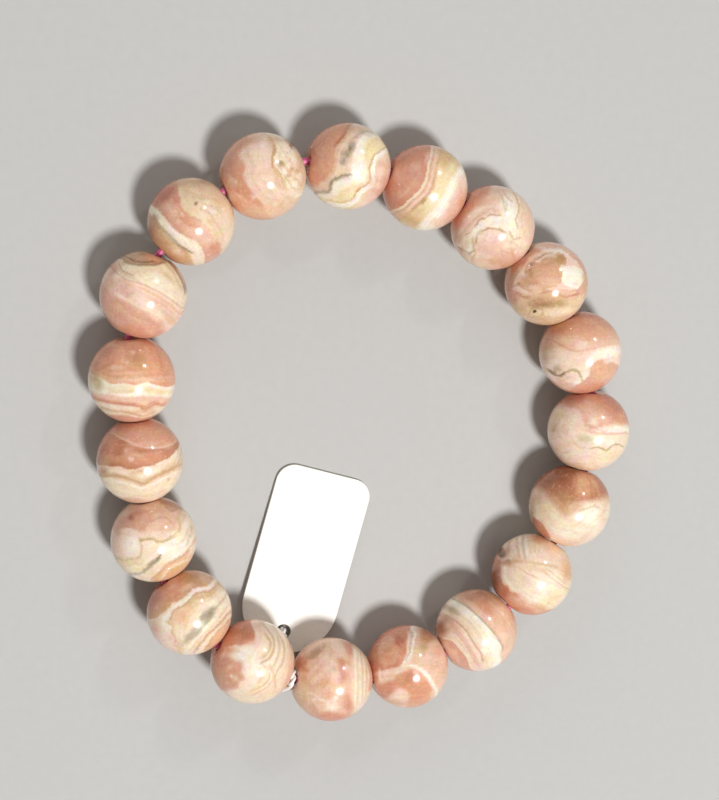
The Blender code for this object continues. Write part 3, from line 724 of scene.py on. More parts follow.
# Cream with grey streaks at the top, fine slanting lines, and a rose lower left
BALLS[9] = ("cream", [
    spot("shell", (-42, 56), (34, 30), 0.9, 0.9, turn=30),
    spot("sand", (-28, 40), (30, 7), 0.7, 0.4, turn=-5),
    vein("tan", 0.34, [(-48, 33), (-22, 30), (6, 26), (34, 20), (60, 14)], 0.8, 0.25),
    spot("shell", (34, 44), (36, 12), 0.8, 0.6, turn=-12),
    spot("shell", (0, 6), (40, 16), 0.6, 0.8, turn=-30),
    edge("rose", (-90, 0), [(-82, 55), (-74, 34), (-70, 20), (-72, 0), (-70, -18), (-58, -22), (-54, -36),
        (-38, -44), (-20, -62), (2, -74), (28, -84), (50, -100)], 0.2),
    # painted shade: a darker mark on the left rim, partly the stone's own colour and partly the shade of the
    # ball's shaded side
    spot("rust", (-94, 0), (16, 40), 0.9, 0.5),
    spot("pink", (-44, -62), (26, 10), 0.8, 0.5, turn=-35),
    spot("deep_rose", (-68, -40), (8, 12), 0.6, 0.4),
    spot("apricot", (6, -84), (34, 10), 0.9, 0.3, turn=-18),
    spot("blush", (-8, -70), (30, 9), 0.8, 0.4, turn=-28),
    spot("umber", (-72, 57), (14, 12), 1.0, 0.3, turn=-25),
    spot("pit", (-70, 56), (9, 7), 0.7, 0.3, turn=-25),
    # painted shade: a darker mark on the upper left rim, partly the stone's own colour and partly the shade
    # of the ball's shaded side
    spot("sienna", (-60, 30), (14, 7), 0.9, 0.3, turn=-15),
    spot("umber", (-54, 36), (5, 3), 0.6, 0.15),
    spot("shell", (-60, 5), (12, 20), 0.95, 0.4),
    vein("milk", 0.3, [(-64, 16), (-64, -6), (-56, -16), (-46, -30), (-30, -42), (-12, -58)], 0.9, 0.2),
    spot("cream", (-36, -24), (20, 12), 0.8, 0.6, turn=-40),
    vein("sage", 0.4, [(-14, 94), (-16, 76), (-15, 60), (-14, 46)], 0.65, 0.2),
    vein("hazel", 0.3, [(-2, 92), (1, 74), (1, 56)], 0.5, 0.16),
    vein("hazel", 0.3, [(9, 92), (12, 76), (11, 58)], 0.5, 0.16),
    vein("olive", 0.34, [(-31, 86), (-29, 66), (-28, 48)], 0.7, 0.2),
    vein("hazel", 0.3, [(-50, 80), (-52, 64), (-54, 52)], 0.7, 0.2),
    spot("butter", (8, 74), (7, 14), 0.6, 0.4),
    spot("salmon", (26, 84), (18, 12), 0.9, 0.4, turn=-15),
    spot("peach", (52, 66), (24, 16), 0.8, 0.7, turn=-35),
    spot("peach", (86, 6), (16, 28), 1.0, 0.6),
    spot("tan", (92, 2), (6, 20), 0.6, 0.3),
    vein("tan", 0.2, [(-24, 14), (-6, 0), (12, -10)], 0.8),
    vein("tan", 0.23, [(28, 6), (46, -10), (64, -26), (84, -42)]),
    vein("tan", 0.2, [(38, 10), (58, -8), (78, -26)], 0.72),
    spot("milk", (26, -36), (44, 24), 0.6, 0.9, turn=25),
    spot("butter", (44, -66), (34, 16), 0.6, 0.6, turn=35),
    vein("tan", 0.2, [(30, -76), (50, -62), (66, -56)], 0.52),
    vein("sand", 0.34, [(-44, 22), (-20, 18), (10, 12), (36, 4)], 0.7, 0.25),
    vein("olive", 0.24, [(20, 88), (24, 70), (20, 54)], 0.5, 0.2),
    vein("milk", 0.26, [(-22, 90), (-22, 70), (-21, 50)], 0.8, 0.16),
    vein("milk", 0.26, [(-8, 90), (-8, 70), (-8, 50)], 0.8, 0.16),
    spot("oat", (12, 14), (22, 8), 0.7, 0.4, turn=-12),
    spot("oat", (-10, -14), (18, 8), 0.6, 0.4, turn=-35),
    vein("sand", 0.26, [(-40, -12), (-22, -26), (-6, -40), (12, -50)], 0.6, 0.25),
    spot("golden", (-36, 34), (10, 4), 0.7, 0.3, turn=-10),
    spot("tan", (86, -5), (8, 14), 0.7),
    spot("blush", (-25, -53), (12, 7), turn=-30),
    # painted shade: a darker mark on the upper left rim, partly the stone's own colour and partly the shade
    # of the ball's shaded side
    spot("hazel", (-58, 62), (10, 7), 0.6, turn=30),
    # painted shade: a darker mark on the left rim, partly the stone's own colour and partly the shade of the
    # ball's shaded side
    spot("sienna", (-78, 33), (9, 8), 0.7),
    spot("blush", (45, 72), (9, 7), 0.5, 0.4),
    spot("tan", (14, -84), (14, 7), 0.6, 0.4, turn=-15),
])

# Salmon at the upper right, a broad milk band with a grey edge, and fine stripes at the lower left
BALLS[10] = ("blush", [
    spot("sienna", (6, 82), (46, 18), 0.9, 0.6, turn=-14),
    spot("salmon", (22, 56), (24, 15), 0.9, 0.5, turn=-40),
    spot("tan", (52, 70), (22, 12), 0.7, 0.5, turn=-40),
    vein("pink", 0.3, [(40, 62), (60, 36), (74, 6)], 0.6, 0.3),
    spot("tan", (92, 10), (8, 36), 0.6, 0.5),
    spot("shell", (74, -20), (14, 34), 0.25, 0.6, turn=15),
    spot("peach", (66, 14), (22, 26), 0.6, 0.6, turn=-30),
    spot("salmon", (34, 42), (16, 8), 0.7, 0.4, turn=-45),
    vein("shell", 0.2, [(-20, 74), (4, 56), (24, 36), (44, 8), (62, -20)], 0.6, 0.2),
    edge("milk", (0, 20), [(-72, 95), (-52, 80), (-30, 67), (-9, 47.5), (9, 30), (30, 4), (47.5, -22),
        (58, -44), (55, -64), (54, -80), (50, -100)], 0.12),
    vein("sage", 0.24, [(-54, 82), (-30, 67), (-8, 47.5), (10, 30), (31, 4), (49, -22), (59, -44),
        (55, -66)], 0.9, 0.14),
    edge("cream", (-20, 10), [(-100, 76), (-66, 62), (-36, 42), (-10, 14), (10, -16), (24, -46), (30, -76),
        (30, -100)], 0.3),
    spot("olive", (-56, 54), (16, 7), turn=-35),
    vein("olive", 0.34, [(-70, 60), (-46, 46), (-22, 24), (-2, 2), (10, -20), (17, -40)], 0.55, 0.25),
    vein("butter", 0.4, [(-10, 28), (14, -4), (28, -34), (36, -70)], 0.7, 0.3),
    vein("tan", 0.23, [(-56, 40), (-32, 20), (-14, -4), (2, -34), (14, -62), (18, -84)], 0.62, 0.16),
    edge("shell", (-40, -10), [(-100, 56), (-72, 42), (-52, 30), (-40, 18), (-30, 6), (-20, -4), (-13, -22),
        (-4, -39), (5, -52), (9, -64), (11, -84), (14, -100)]),
    vein("hazel", 0.25, [(-66, 38), (-52, 29), (-38, 16), (-29, 5), (-21, -5), (-12, -22), (-3, -40),
        (6, -54), (9, -70)], 0.8, 0.14),
    spot("pink", (-58, 16), (18, 10), 0.8, 0.5, turn=-40),
    vein("pink", 0.3, [(-46, 2), (-32, -18), (-18, -42), (-6, -66), (-2, -84)], 0.8, 0.2),
    vein("hazel", 0.2, [(-50, -4), (-36, -22), (-22, -46), (-10, -74)], 0.62),
    edge("pink", (-60, -60), [(-100, -4), (-80, -14), (-62, -20), (-48, -34), (-36, -50), (-25, -70),
        (-20, -100)], 0.2),
    vein("tan", 0.2, [(-48, -22), (-36, -38), (-24, -58), (-16, -84)], 0.6, 0.2),
    vein("cream", 0.4, [(-78, -13), (-64, -15), (-54, -22), (-44, -36), (-32, -52), (-24, -66),
        (-19, -84)], 1.0, 0.14),
    # painted shade: a darker mark on the left rim, partly the stone's own colour and partly the shade of the
    # ball's shaded side
    spot("sienna", (-84, 12), (16, 18), 0.9, 0.5),
    vein("sienna", 0.2, [(-70, -26), (-60, -36), (-54, -50)], 0.5, 0.2),
    vein("cream", 0.24, [(-86, -30), (-70, -40), (-58, -56), (-50, -72)], 0.6, 0.2),
    spot("milk", (40, -50), (12, 30), 0.9, 0.3, turn=12),
    spot("blush", (-64, -54), (16, 12), 0.7, 0.5, turn=-50),
    # painted shade: a darker mark on the upper left rim, partly the stone's own colour and partly the shade
    # of the ball's shaded side
    spot("sienna", (-72, 34), (14, 6), 0.6, 0.3, turn=-40),
    vein("pink", 0.26, [(-78, 30), (-62, 18), (-50, 4), (-38, -12)], 0.6, 0.2),
    spot("oat", (59, -60), (7, 10), 0.8, 0.3),
    spot("sand", (81, -30), (8, 12), 0.7, 0.4),
    spot("blush", (-78, -27), (9, 7), 0.7),
    spot("oat", (43, -18), (5, 8), 0.5, 0.25, turn=40),
    spot("blush", (-69, 15), (9, 7), 0.6),
    spot("milk", (14, -49), (7, 10), 0.8, 0.3, turn=15),
])

# Rose, parted in three by white veins that meet in the middle
BALLS[11] = ("blush", [
    patch("rose", [(-110, -10), (-70, -8), (-46, -2), (-26, 0), (-12, 0), (-6, 18), (0, 36), (2, 60),
        (10, 80), (14, 110), (-60, 110), (-110, 70)], 1.0, 0.12),
    spot("blush", (-43, 40), (26, 36), 0.6, 0.25, turn=-12),
    spot("apricot", (-43, 40), (22, 30), 0.9, 0.5, turn=-12),
    spot("blush", (-56, 62), (8, 5), 0.4, 0.3, turn=30),
    spot("deep_rose", (-16, 60), (11, 13), 0.85, 0.3),
    # painted shade: a darker mark on the left rim, partly the stone's own colour and partly the shade of the
    # ball's shaded side
    spot("deep_rose", (-90, 25), (12, 50), 0.6, 0.5),
    spot("salmon", (-16, 24), (8, 16), 0.7, 0.4),
    spot("shell", (-40, -10), (34, 6), 0.9, 0.2, turn=6),
    # painted shade: a darker mark on the left rim, partly the stone's own colour and partly the shade of the
    # ball's shaded side
    spot("rose", (-84, -24), (12, 16), 0.9, 0.4),
    vein("milk", 0.3, [(-68, -8), (-68, -20), (-64, -32)], 0.9),
    spot("rose", (-56, -50), (30, 20), 0.9, 0.4, turn=30),
    spot("shell", (-50, -28), (18, 5), 0.6, 0.25, turn=12),
    patch("salmon", [(-30, -20), (-6, -12), (14, -8), (32, -20), (48, -44), (52, -66), (36, -94), (-10, -105),
        (-4, -80), (0, -66), (-12, -52), (-34, -44)], 0.95, 0.3),
    spot("sienna", (4, -30), (20, 12), 0.8, 0.6, turn=30),
    spot("shell", (-30, -66), (18, 9), 0.7, 0.25, turn=20),
    spot("milk", (-16, -74), (13, 7), 0.3, 0.25, turn=-15),
    spot("pink", (-40, -84), (20, 8), 0.6, 0.3, turn=-15),
    spot("tan", (44, 56), (12, 32), 0.9, 0.4, turn=-15),
    spot("sienna", (54, 70), (18, 14), 0.8, 0.4, turn=-35),
    spot("olive", (42, 40), (6, 14), 0.5, 0.3, turn=-15),
    spot("sand", (26, 24), (12, 18), 0.8, 0.4),
    spot("pink", (72, 30), (14, 14), 0.7, 0.5),
    spot("shell", (50, 6), (20, 16), 0.3, 0.7),
    vein("shell", 0.75, [(26, 100), (22, 80), (15, 56), (12, 32), (0, 12), (-12, -4)], 0.95, 0.2),
    vein("milk", 0.24, [(18, 88), (24, 72), (18, 54), (14, 40), (10, 26), (-2, 12)], 0.9),
    vein("milk", 0.2, [(8, 78), (10, 60), (4, 44), (4, 28), (-6, 10)], 0.7),
    vein("sage", 0.25, [(16, 80), (15, 64), (10, 50), (8, 34), (0, 18)], 0.65),
    vein("sage", 0.21, [(30, 86), (28, 66), (22, 46), (18, 30)], 0.5),
    vein("cream", 0.46, [(-24, -10), (-8, 2), (8, 1), (24, -4), (39, -17), (52, -35), (63, -52), (67, -66),
        (64, -82)], 0.95, 0.2),
    vein("milk", 0.38, [(12, 0), (24, -5), (39, -18), (52, -36), (62, -52), (66, -66)], 0.95, 0.16),
    spot("rose", (28, -60), (16, 10), 0.5, 0.5, turn=60),
    spot("pink", (64, 0), (18, 12), 0.5, 0.5, turn=-20),
    # painted shade: a darker mark on the upper left rim, partly the stone's own colour and partly the shade
    # of the ball's shaded side
    spot("deep_rose", (-70, 66), (22, 12), 0.5, 0.5, turn=40),
    spot("sienna", (18, -48), (14, 10), 0.35, 0.5, turn=20),
    spot("tan", (83, -22), (7, 12), 0.6, 0.4),
    spot("blush", (71, -48), (7, 9), 0.6),
    spot("pink", (-6, -86), (14, 6), 0.5, 0.4),
    spot("shell", (20, -17), (8, 5), 0.8, 0.25, turn=-40),
    spot("rose", (-60, -60), (12, 9), 0.6, 0.4, turn=40),
    spot("salmon", (-77, 34), (9, 12), 0.7, 0.4),
])

# Mottled pink and tan, with straight cream stripes down the right
BALLS[12] = ("blush", [
    spot("shell", (-4, 42), (34, 20), 0.8, 0.8, turn=40),
    spot("pink", (-30, 26), (24, 14), 0.7, 0.8, turn=45),
    # painted shade: a darker mark on the left rim, partly the stone's own colour and partly the shade of the
    # ball's shaded side
    patch("rose", [(-86, 50), (-72, 60), (-60, 56), (-54, 44), (-58, 34), (-52, 24), (-64, 20),
        (-80, 24)], 0.9, 0.3),
    # painted shade: a darker mark on the left rim, partly the stone's own colour and partly the shade of the
    # ball's shaded side
    spot("sienna", (-74, 36), (8, 16), 0.6, 0.3),
    spot("hazel", (-32, 68), (22, 9), 0.8, 0.4, turn=35),
    spot("hazel", (-26, 68), (8, 5), 0.5, 0.2, turn=35),
    vein("hazel", 0.2, [(-12, 80), (-22, 66), (-40, 54), (-54, 56)], 0.75, 0.2),
    vein("cream", 0.3, [(10, 80), (-6, 58), (-26, 40), (-44, 20), (-56, 0)], 0.7, 0.3),
    vein("sand", 0.2, [(18, 44), (0, 30), (-20, 10), (-40, -10)], 0.6, 0.25),
    spot("tan", (-64, 4), (10, 14), 0.8, 0.3, turn=20),
    spot("sand", (-70, -25), (18, 22), 0.8, 0.6),
    spot("pink", (30, 16), (11, 26), 0.9, 0.25, turn=5),
    spot("rose", (30, 38), (15, 7), turn=-20),
    spot("rose", (28, 2), (7, 8), 0.6, 0.3),
    spot("shell", (38, 26), (4, 8), 0.7, 0.2),
    spot("rose", (44, 74), (9, 24), 0.9, 0.3, turn=28),
    spot("shell", (24, 74), (12, 16), 0.8, 0.4, turn=20),
    spot("sage", (6, 22), (7, 6), 0.6, 0.3),
    spot("peach", (-10, -8), (30, 12), 0.6, 0.7, turn=-25),
    vein("hazel", 0.2, [(-14, 14), (-6, 0), (-16, -14)], 0.47),
    vein("milk", 0.23, [(-52, -30), (-40, -34), (-34, -44), (-22, -48)], 0.75, 0.2),
    spot("milk", (-44, -44), (4, 5), 0.7, 0.15),
    edge("cream", (80, 0), [(58, 100), (58, 66), (52, 30), (50, -10), (46, -50), (42, -100)], 0.25),
    vein("tan", 0.21, [(56, 70), (54, 30), (52, -10), (48, -50)], 0.5),
    vein("tan", 0.26, [(66, 70), (65, 30), (63, -10), (58, -60)], 0.5, 0.16),
    vein("hazel", 0.21, [(75, 60), (76, 30), (74, -10), (70, -54)], 0.6),
    vein("hazel", 0.26, [(84, 50), (86, 20), (84, -14), (78, -48)], 0.55),
    vein("rose", 0.4, [(93, 32), (95, 5), (91, -28)], 0.75),
    spot("shell", (-2, -62), (20, 14), 0.9, 0.4, turn=15),
    spot("milk", (-10, -56), (5, 5), 0.6, 0.2),
    spot("pink", (32, -58), (14, 18), 0.8, 0.5),
    spot("shell", (18, -30), (10, 10), 0.6, 0.4),
    spot("rose", (-10, -92), (55, 14), 0.95, 0.4, turn=-4),
    spot("pink", (-44, -76), (20, 8), 0.7, 0.4, turn=-35),
    spot("tan", (-40, -10), (12, 22), 0.5, 0.6, turn=40),
    spot("tan", (6, 60), (8, 10), 0.4, 0.4, turn=30),
    vein("tan", 0.24, [(-30, 40), (-14, 26), (4, 30)], 0.4, 0.25),
    spot("pink", (-10, -34), (12, 9), 0.6, 0.4, turn=20),
    vein("milk", 0.26, [(61, 60), (60, 30), (57, -6), (52, -50)], 0.5, 0.14),
    vein("milk", 0.24, [(70, 60), (71, 30), (69, -8), (64, -54)], 0.4, 0.14),
    spot("shell", (12, 6), (10, 12), 0.7, 0.3, turn=20),
    spot("rose", (40, -70), (10, 16), 0.6, 0.4, turn=20),
    spot("milk", (8, -46), (6, 6), 0.7, 0.2),
    spot("blush", (-60, -52), (16, 8), 0.6, 0.4, turn=-40),
    spot("salmon", (-20, -4), (14, 10), 0.5, 0.4, turn=30),
    spot("shell", (-36, 2), (12, 6), 0.6, 0.3, turn=40),
    vein("rose", 0.24, [(36, -16), (34, -36), (36, -58)], 0.6, 0.2),
    spot("shell", (-8, 26), (10, 6), 0.6, 0.3, turn=40),
    spot("tan", (-50, -60), (10, 6), 0.6, 0.3, turn=-40),
    spot("milk", (-4, -64), (9, 6), 0.6, 0.3, turn=15),
    spot("shell", (2, 14), (8, 14), 0.5, 0.4, turn=-10),
    spot("blush", (17, -52), (8, 8)),
    spot("pink", (26, -6), (8, 9), 0.7),
    # painted shade: a darker mark on the left rim, partly the stone's own colour and partly the shade of the
    # ball's shaded side
    spot("tan", (-72, -47), (9, 12), 0.5, 0.4, turn=-30),
    spot("oat", (-72, 19), (7, 8), 0.7, 0.3),
    spot("rose", (-19, -84), (14, 6), 0.5),
    spot("pink", (-46, -72), (10, 7), 0.6, 0.4, turn=-35),
])

# Two rose patches on the left of pale stone, the lower one partly painted shade; the stone ripples in cream
# lines on the right
BALLS[13] = ("shell", [
    edge("cream", (50, 0), [(30, 100), (34, 60), (26, 36), (10, 12), (4, -20), (-16, -46), (-44, -66),
        (-90, -90)], 0.6),
    edge("pink", (-80, -20), [(-30, 100), (-40, 50), (-52, 26), (-56, 16), (-38, 8), (-26, 4), (-24, -10),
        (-28, -22), (-22, -38), (-34, -44), (-40, -58), (-60, -62), (-100, -72)], 0.35),
    # painted shade: a darker mark on the left rim, partly the stone's own colour and partly the shade of the
    # ball's shaded side
    spot("rose", (-84, 10), (22, 50), 0.9, 0.8, turn=-5),
    spot("salmon", (-52, -20), (18, 20), 0.7, 0.7),
    spot("shell", (-66, 20), (10, 6), 0.5, 0.3, turn=20),
    spot("shell", (-52, -8), (8, 5), 0.5, 0.25, turn=40),
    spot("shell", (-44, -34), (8, 5), 0.6, 0.25, turn=-40),
    spot("milk", (-52, -30), (2.5, 3), 0.6, 0.12),
    # painted shade: a darker mark on the left rim, partly the stone's own colour and partly the shade of the
    # ball's shaded side
    spot("tan", (-74, -36), (14, 16), 0.6, 0.5),
    patch("rose", [(-90, 42), (-62, 40), (-50, 36), (-40, 42), (-24, 40), (-6, 46), (6, 50), (10, 66),
        (4, 84), (-6, 110), (-70, 110)], 0.95),
    spot("sienna", (-16, 66), (20, 16), 0.8, 0.6, turn=-15),
    # painted shade: a darker mark on the upper left rim, partly the stone's own colour and partly the shade
    # of the ball's shaded side
    spot("deep_rose", (-40, 84), (30, 14), 0.7, 0.6, turn=25),
    spot("pink", (-14, 44), (14, 5), 0.6, 0.3),
    spot("oat", (22, 84), (14, 14), 0.7, 0.4),
    spot("milk", (-20, 20), (26, 14), 1.0, 0.5, turn=10),
    spot("milk", (4, -16), (20, 24), 0.9, 0.7),
    vein("hazel", 0.28, [(26, 90), (44, 68), (54, 46), (52, 24), (40, 6), (22, -4)], 0.75, 0.16),
    vein("sand", 0.25, [(34, 60), (44, 40), (36, 22), (20, 10)], 0.9, 0.16),
    vein("hazel", 0.2, [(38, 56), (46, 38), (40, 20), (26, 8)], 0.7),
    vein("hazel", 0.23, [(56, 76), (72, 46), (77, 20), (70, -8), (56, -26), (50, -44),
        (50, -60)], 0.72, 0.16),
    vein("olive", 0.28, [(46, 76), (62, 50), (65, 22), (57, 0), (46, -16)], 0.72, 0.16),
    vein("tan", 0.23, [(28, -14), (38, -28), (34, -46), (18, -58), (-4, -66)], 0.85, 0.16),
    vein("butter", 0.5, [(20, -22), (22, -40), (4, -62), (-20, -74)], 0.7, 0.3),
    vein("tan", 0.26, [(16, -24), (20, -34), (12, -46)], 0.62),
    edge("blush", (95, 0), [(72, 100), (84, 60), (86, 20), (80, -15), (68, -46), (50, -90)], 0.5),
    vein("oat", 0.26, [(62, -20), (56, -44), (36, -68), (6, -84)], 0.6, 0.2),
    vein("milk", 0.3, [(42, 80), (57, 52), (59, 24), (48, 2), (34, -6)], 0.7, 0.16),
    vein("milk", 0.28, [(34, -22), (42, -36), (36, -54), (18, -66)], 0.7, 0.16),
    vein("tan", 0.24, [(40, -16), (46, -34), (40, -52), (22, -66), (-2, -76)], 0.7, 0.16),
    spot("pink", (-48, 29), (12, 7)),
    spot("sand", (24, -82), (14, 6), 0.7, turn=15),
    spot("sand", (45, -73), (10, 8), 0.7, turn=35),
    spot("pink", (-74, 43), (9, 9), 0.7),
    spot("salmon", (0, 46), (10, 6), 0.5),
    spot("pink", (-55, 8), (9, 8), 0.7),
])

# Rose at the upper left, partly painted shade, a white seam, and peach with grey-green smears and fine
# stripes
BALLS[14] = ("salmon", [
    # painted shade: a darker mark on the upper left rim, partly the stone's own colour and partly the shade
    # of the ball's shaded side
    spot("deep_rose", (-84, 44), (16, 30), 1.0, 0.6, turn=-30),
    spot("pink", (-50, 56), (30, 16), 0.9, 0.7, turn=30),
    spot("shell", (-36, 62), (10, 5), 0.5, 0.3, turn=25),
    spot("pink", (-72, 14), (16, 14), 0.8, 0.5, turn=35),
    edge("tan", (20, 70), [(-34, 100), (-14, 74), (-12, 52), (-30, 34), (-60, 20), (-85, 5), (-100, 0)], 0.5),
    spot("hazel", (16, 74), (22, 10), 0.7, 0.5, turn=-10),
    spot("blush", (40, 78), (14, 10), 0.6, 0.4, turn=-40),
    spot("oat", (0, 58), (16, 6), 0.7, 0.3, turn=20),
    edge("shell", (-50, -10), [(80, 90), (64, 72), (54, 60), (40, 57), (22, 55), (6, 49), (-6, 36), (-20, 28),
        (-38, 22), (-46, 10), (-60, 2), (-74, -6), (-88, -8), (-100, -12)], 0.12),
    vein("milk", 0.44, [(60, 66), (46, 54), (24, 50), (6, 42), (-10, 30), (-24, 20), (-42, 12), (-54, -4),
        (-60, -22)], 0.85, 0.16),
    spot("milk", (-56, -24), (18, 22), 0.7, 0.5, turn=-10),
    spot("blush", (-76, -36), (14, 20), 0.7, 0.6, turn=15),
    edge("sand", (0, 0), [(78, 90), (64, 58), (50, 46), (26, 43), (8, 36), (-6, 22), (-22, 13), (-36, 6),
        (-42, -6), (-52, -20), (-39, -30), (-42, -44), (-34, -56), (-36, -74), (-26, -100)], 0.1),
    vein("hazel", 0.22, [(60, 52), (48, 45), (26, 42), (9, 35), (-6, 21), (-22, 12), (-34, 5),
        (-42, -8)], 0.77),
    vein("golden", 0.36, [(70, 62), (56, 42), (34, 34), (14, 30), (0, 18)], 0.75, 0.25),
    spot("peach", (-20, -8), (20, 18), 0.7, 0.7, turn=40),
    spot("cream", (-26, -46), (10, 20), 0.9, 0.4),
    vein("tan", 0.21, [(-50, -22), (-40, -31), (-42, -44), (-35, -56), (-37, -70)], 0.72),
    edge("cream", (60, 10), [(100, 66), (76, 46), (50, 28), (20, 10), (2, -14), (-12, -46), (-18, -74),
        (-20, -100)], 0.4),
    vein("golden", 0.2, [(90, 50), (66, 34), (44, 18), (22, 0)], 0.5, 0.2),
    spot("milk", (46, 14), (30, 7), 0.7, 0.3, turn=38),
    spot("sage", (40, -12), (25, 13), 0.95, 0.25, turn=45),
    spot("umber", (44, -10), (10, 3), 0.4, 0.3, turn=48),
    spot("sage", (10, -46), (34, 9), 0.85, 0.25, turn=42),
    vein("sage", 0.2, [(52, 0), (68, 12), (80, 26), (92, 42)], 0.8, 0.16),
    vein("milk", 0.26, [(80, 6), (60, -12), (40, -34), (16, -58), (-2, -78)], 0.7, 0.2),
    vein("tan", 0.22, [(90, 6), (66, -20), (46, -40), (20, -62), (2, -84)], 0.7, 0.2),
    vein("sienna", 0.3, [(97, -4), (82, -18), (64, -36), (42, -54), (24, -70), (8, -90)], 0.8, 0.16),
    edge("peach", (80, -70), [(100, -20), (80, -36), (54, -58), (34, -80), (26, -100)], 0.4),
    vein("hazel", 0.25, [(92, -24), (72, -42), (50, -64), (34, -84)], 0.75, 0.16),
    spot("milk", (24, -33), (16, 5), 0.55, 0.3, turn=42),
    spot("tan", (18, 70), (14, 6), 0.4, 0.4, turn=-10),
    spot("blush", (-37, 77), (12, 7), turn=25),
    spot("cream", (39, 6), (9, 5), 0.8, 0.25, turn=40),
    spot("sand", (77, -37), (7, 9), 0.7, 0.3, turn=-40),
    spot("sage", (39, -24), (10, 5), 0.6, 0.25, turn=42),
    # painted shade: a darker mark on the left rim, partly the stone's own colour and partly the shade of the
    # ball's shaded side
    spot("pink", (-80, -30), (8, 12), 0.5, 0.4),
    spot("sage", (16, -49), (10, 5), 0.5, 0.25, turn=42),
])

# A rose cap and a pale lobe, over cream and brown ripples and a grey-green streak
BALLS[15] = ("blush", [
    spot("oat", (-24, 84), (36, 10), 0.8, 0.5, turn=10),
    # painted shade: a darker mark on the left rim, partly the stone's own colour and partly the shade of the
    # ball's shaded side
    spot("tan", (-86, 25), (14, 34), 0.7, 0.5, turn=-20),
    # painted shade: a darker mark on the upper left rim, partly the stone's own colour and partly the shade
    # of the ball's shaded side
    spot("pink", (-70, 40), (16, 16), 0.7, 0.5),
    patch("pink", [(-72, 24), (-55, 32), (-42, 24), (-20, 22), (-12, 34), (4, 40), (4, 58), (-16, 68),
        (-46, 64), (-70, 46)], 0.95, 0.25),
    spot("rose", (-40, 50), (22, 12), 0.7, 0.5, turn=15),
    spot("blush", (-16, 56), (8, 5), 0.5, 0.3, turn=30),
    spot("rust", (-49, 51), (5, 6), 0.6, 0.2),
    vein("rust", 0.21, [(-56, 29), (-42, 22), (-22, 20)], 0.62),
    spot("sienna", (32, 84), (28, 9), 0.9, 0.4, turn=-25),
    spot("tan", (16, 66), (16, 8), 0.6, 0.4, turn=-10),
    vein("hazel", 0.3, [(36, 68), (46, 62), (58, 70)], 0.8, 0.2),
    spot("blush", (22, 36), (24, 16), 0.9, 0.4),
    vein("hazel", 0.2, [(2, 42), (16, 48), (32, 46), (42, 34)], 0.62),
    edge("cream", (60, -20), [(86, 85), (66, 60), (60, 46), (52, 24), (40, 16), (22, 12), (0, 14), (-20, 12),
        (-36, 20), (-60, 28), (-100, 25)], 0.3),
    spot("milk", (50, -20), (36, 22), 0.9, 0.6, turn=25),
    spot("shell", (0, 10), (40, 8), 0.8, 0.3, turn=-4),
    vein("golden", 0.34, [(68, 66), (60, 48), (62, 30), (54, 10), (40, 0), (24, -6), (8, -5), (-8, 3),
        (-30, 0)], 0.75, 0.2),
    vein("olive", 0.25, [(40, 0), (24, -7), (8, -6), (-8, 1), (-32, -1)], 0.8),
    vein("milk", 0.3, [(84, 56), (76, 36), (72, 14), (56, -6), (30, -18)], 0.8, 0.2),
    vein("tan", 0.23, [(92, 38), (82, 20), (74, 0), (58, -14)], 0.62, 0.2),
    spot("oat", (-86, -10), (12, 36), 0.8, 0.4, turn=-8),
    patch("shell", [(-110, 16), (-84, 22), (-70, 27), (-56, 29), (-44, 22), (-37, 8), (-31, -4), (-30, -20),
        (-36, -38), (-50, -45), (-64, -42), (-76, -34), (-92, -30), (-110, -28)], 1.0, 0.12),
    spot("milk", (-50, -12), (18, 26), 0.8, 0.5, turn=8),
    spot("blush", (-84, -4), (10, 18), 0.7, 0.5),
    spot("shell", (-62, 4), (14, 18), 0.3, 0.6, turn=-20),
    vein("olive", 0.26, [(-31, -3), (-28, -20), (-33, -38), (-46, -46), (-58, -43), (-68, -46),
        (-84, -40)], 0.75, 0.16),
    spot("butter", (-44, -58), (38, 12), 0.8, 0.4, turn=-6),
    vein("milk", 0.24, [(2, -30), (-12, -46), (-30, -60), (-60, -62)], 0.7, 0.2),
    vein("sage", 0.44, [(12, -38), (6, -46), (-10, -58)], 1.0, 0.2),
    vein("umber", 0.21, [(10, -40), (4, -47)], 0.62),
    vein("sage", 0.32, [(-6, -54), (-22, -70), (-42, -78), (-72, -72)], 0.9, 0.16),
    vein("sage", 0.26, [(90, 22), (86, 6), (78, -12)], 0.7, 0.16),
    vein("rose", 0.25, [(97, -2), (86, -22), (68, -38)], 0.75),
    edge("peach", (50, -75), [(100, -30), (74, -42), (46, -52), (24, -64), (6, -82), (-6, -100)], 0.25),
    spot("golden", (36, -76), (30, 7), 0.6, 0.3, turn=32),
    vein("sienna", 0.28, [(80, -34), (64, -44), (44, -53), (27, -61), (14, -75), (-4, -90)], 0.75, 0.16),
    vein("cream", 0.3, [(70, -54), (44, -64), (28, -76), (14, -92)], 0.85, 0.16),
    spot("peach", (30, 30), (12, 6), 0.7, 0.3, turn=20),
    spot("hazel", (60, 76), (14, 6), 0.6, 0.3, turn=-45),
    spot("blush", (-29, 42), (14, 9), 0.5, 0.5, turn=30),
    spot("blush", (-17, 83), (12, 7), 0.7, 0.4),
    spot("golden", (-7, -82), (14, 7), 0.4, 0.4),
    # painted shade: a darker mark on the left rim, partly the stone's own colour and partly the shade of the
    # ball's shaded side
    spot("sienna", (-82, 24), (8, 10), 0.4, 0.4),
    spot("golden", (72, 47), (9, 9), 0.3, 0.4),
    spot("butter", (58, 6), (10, 8), 0.6, 0.4),
    spot("peach", (20, -62), (12, 7), 0.5, 0.4),
])

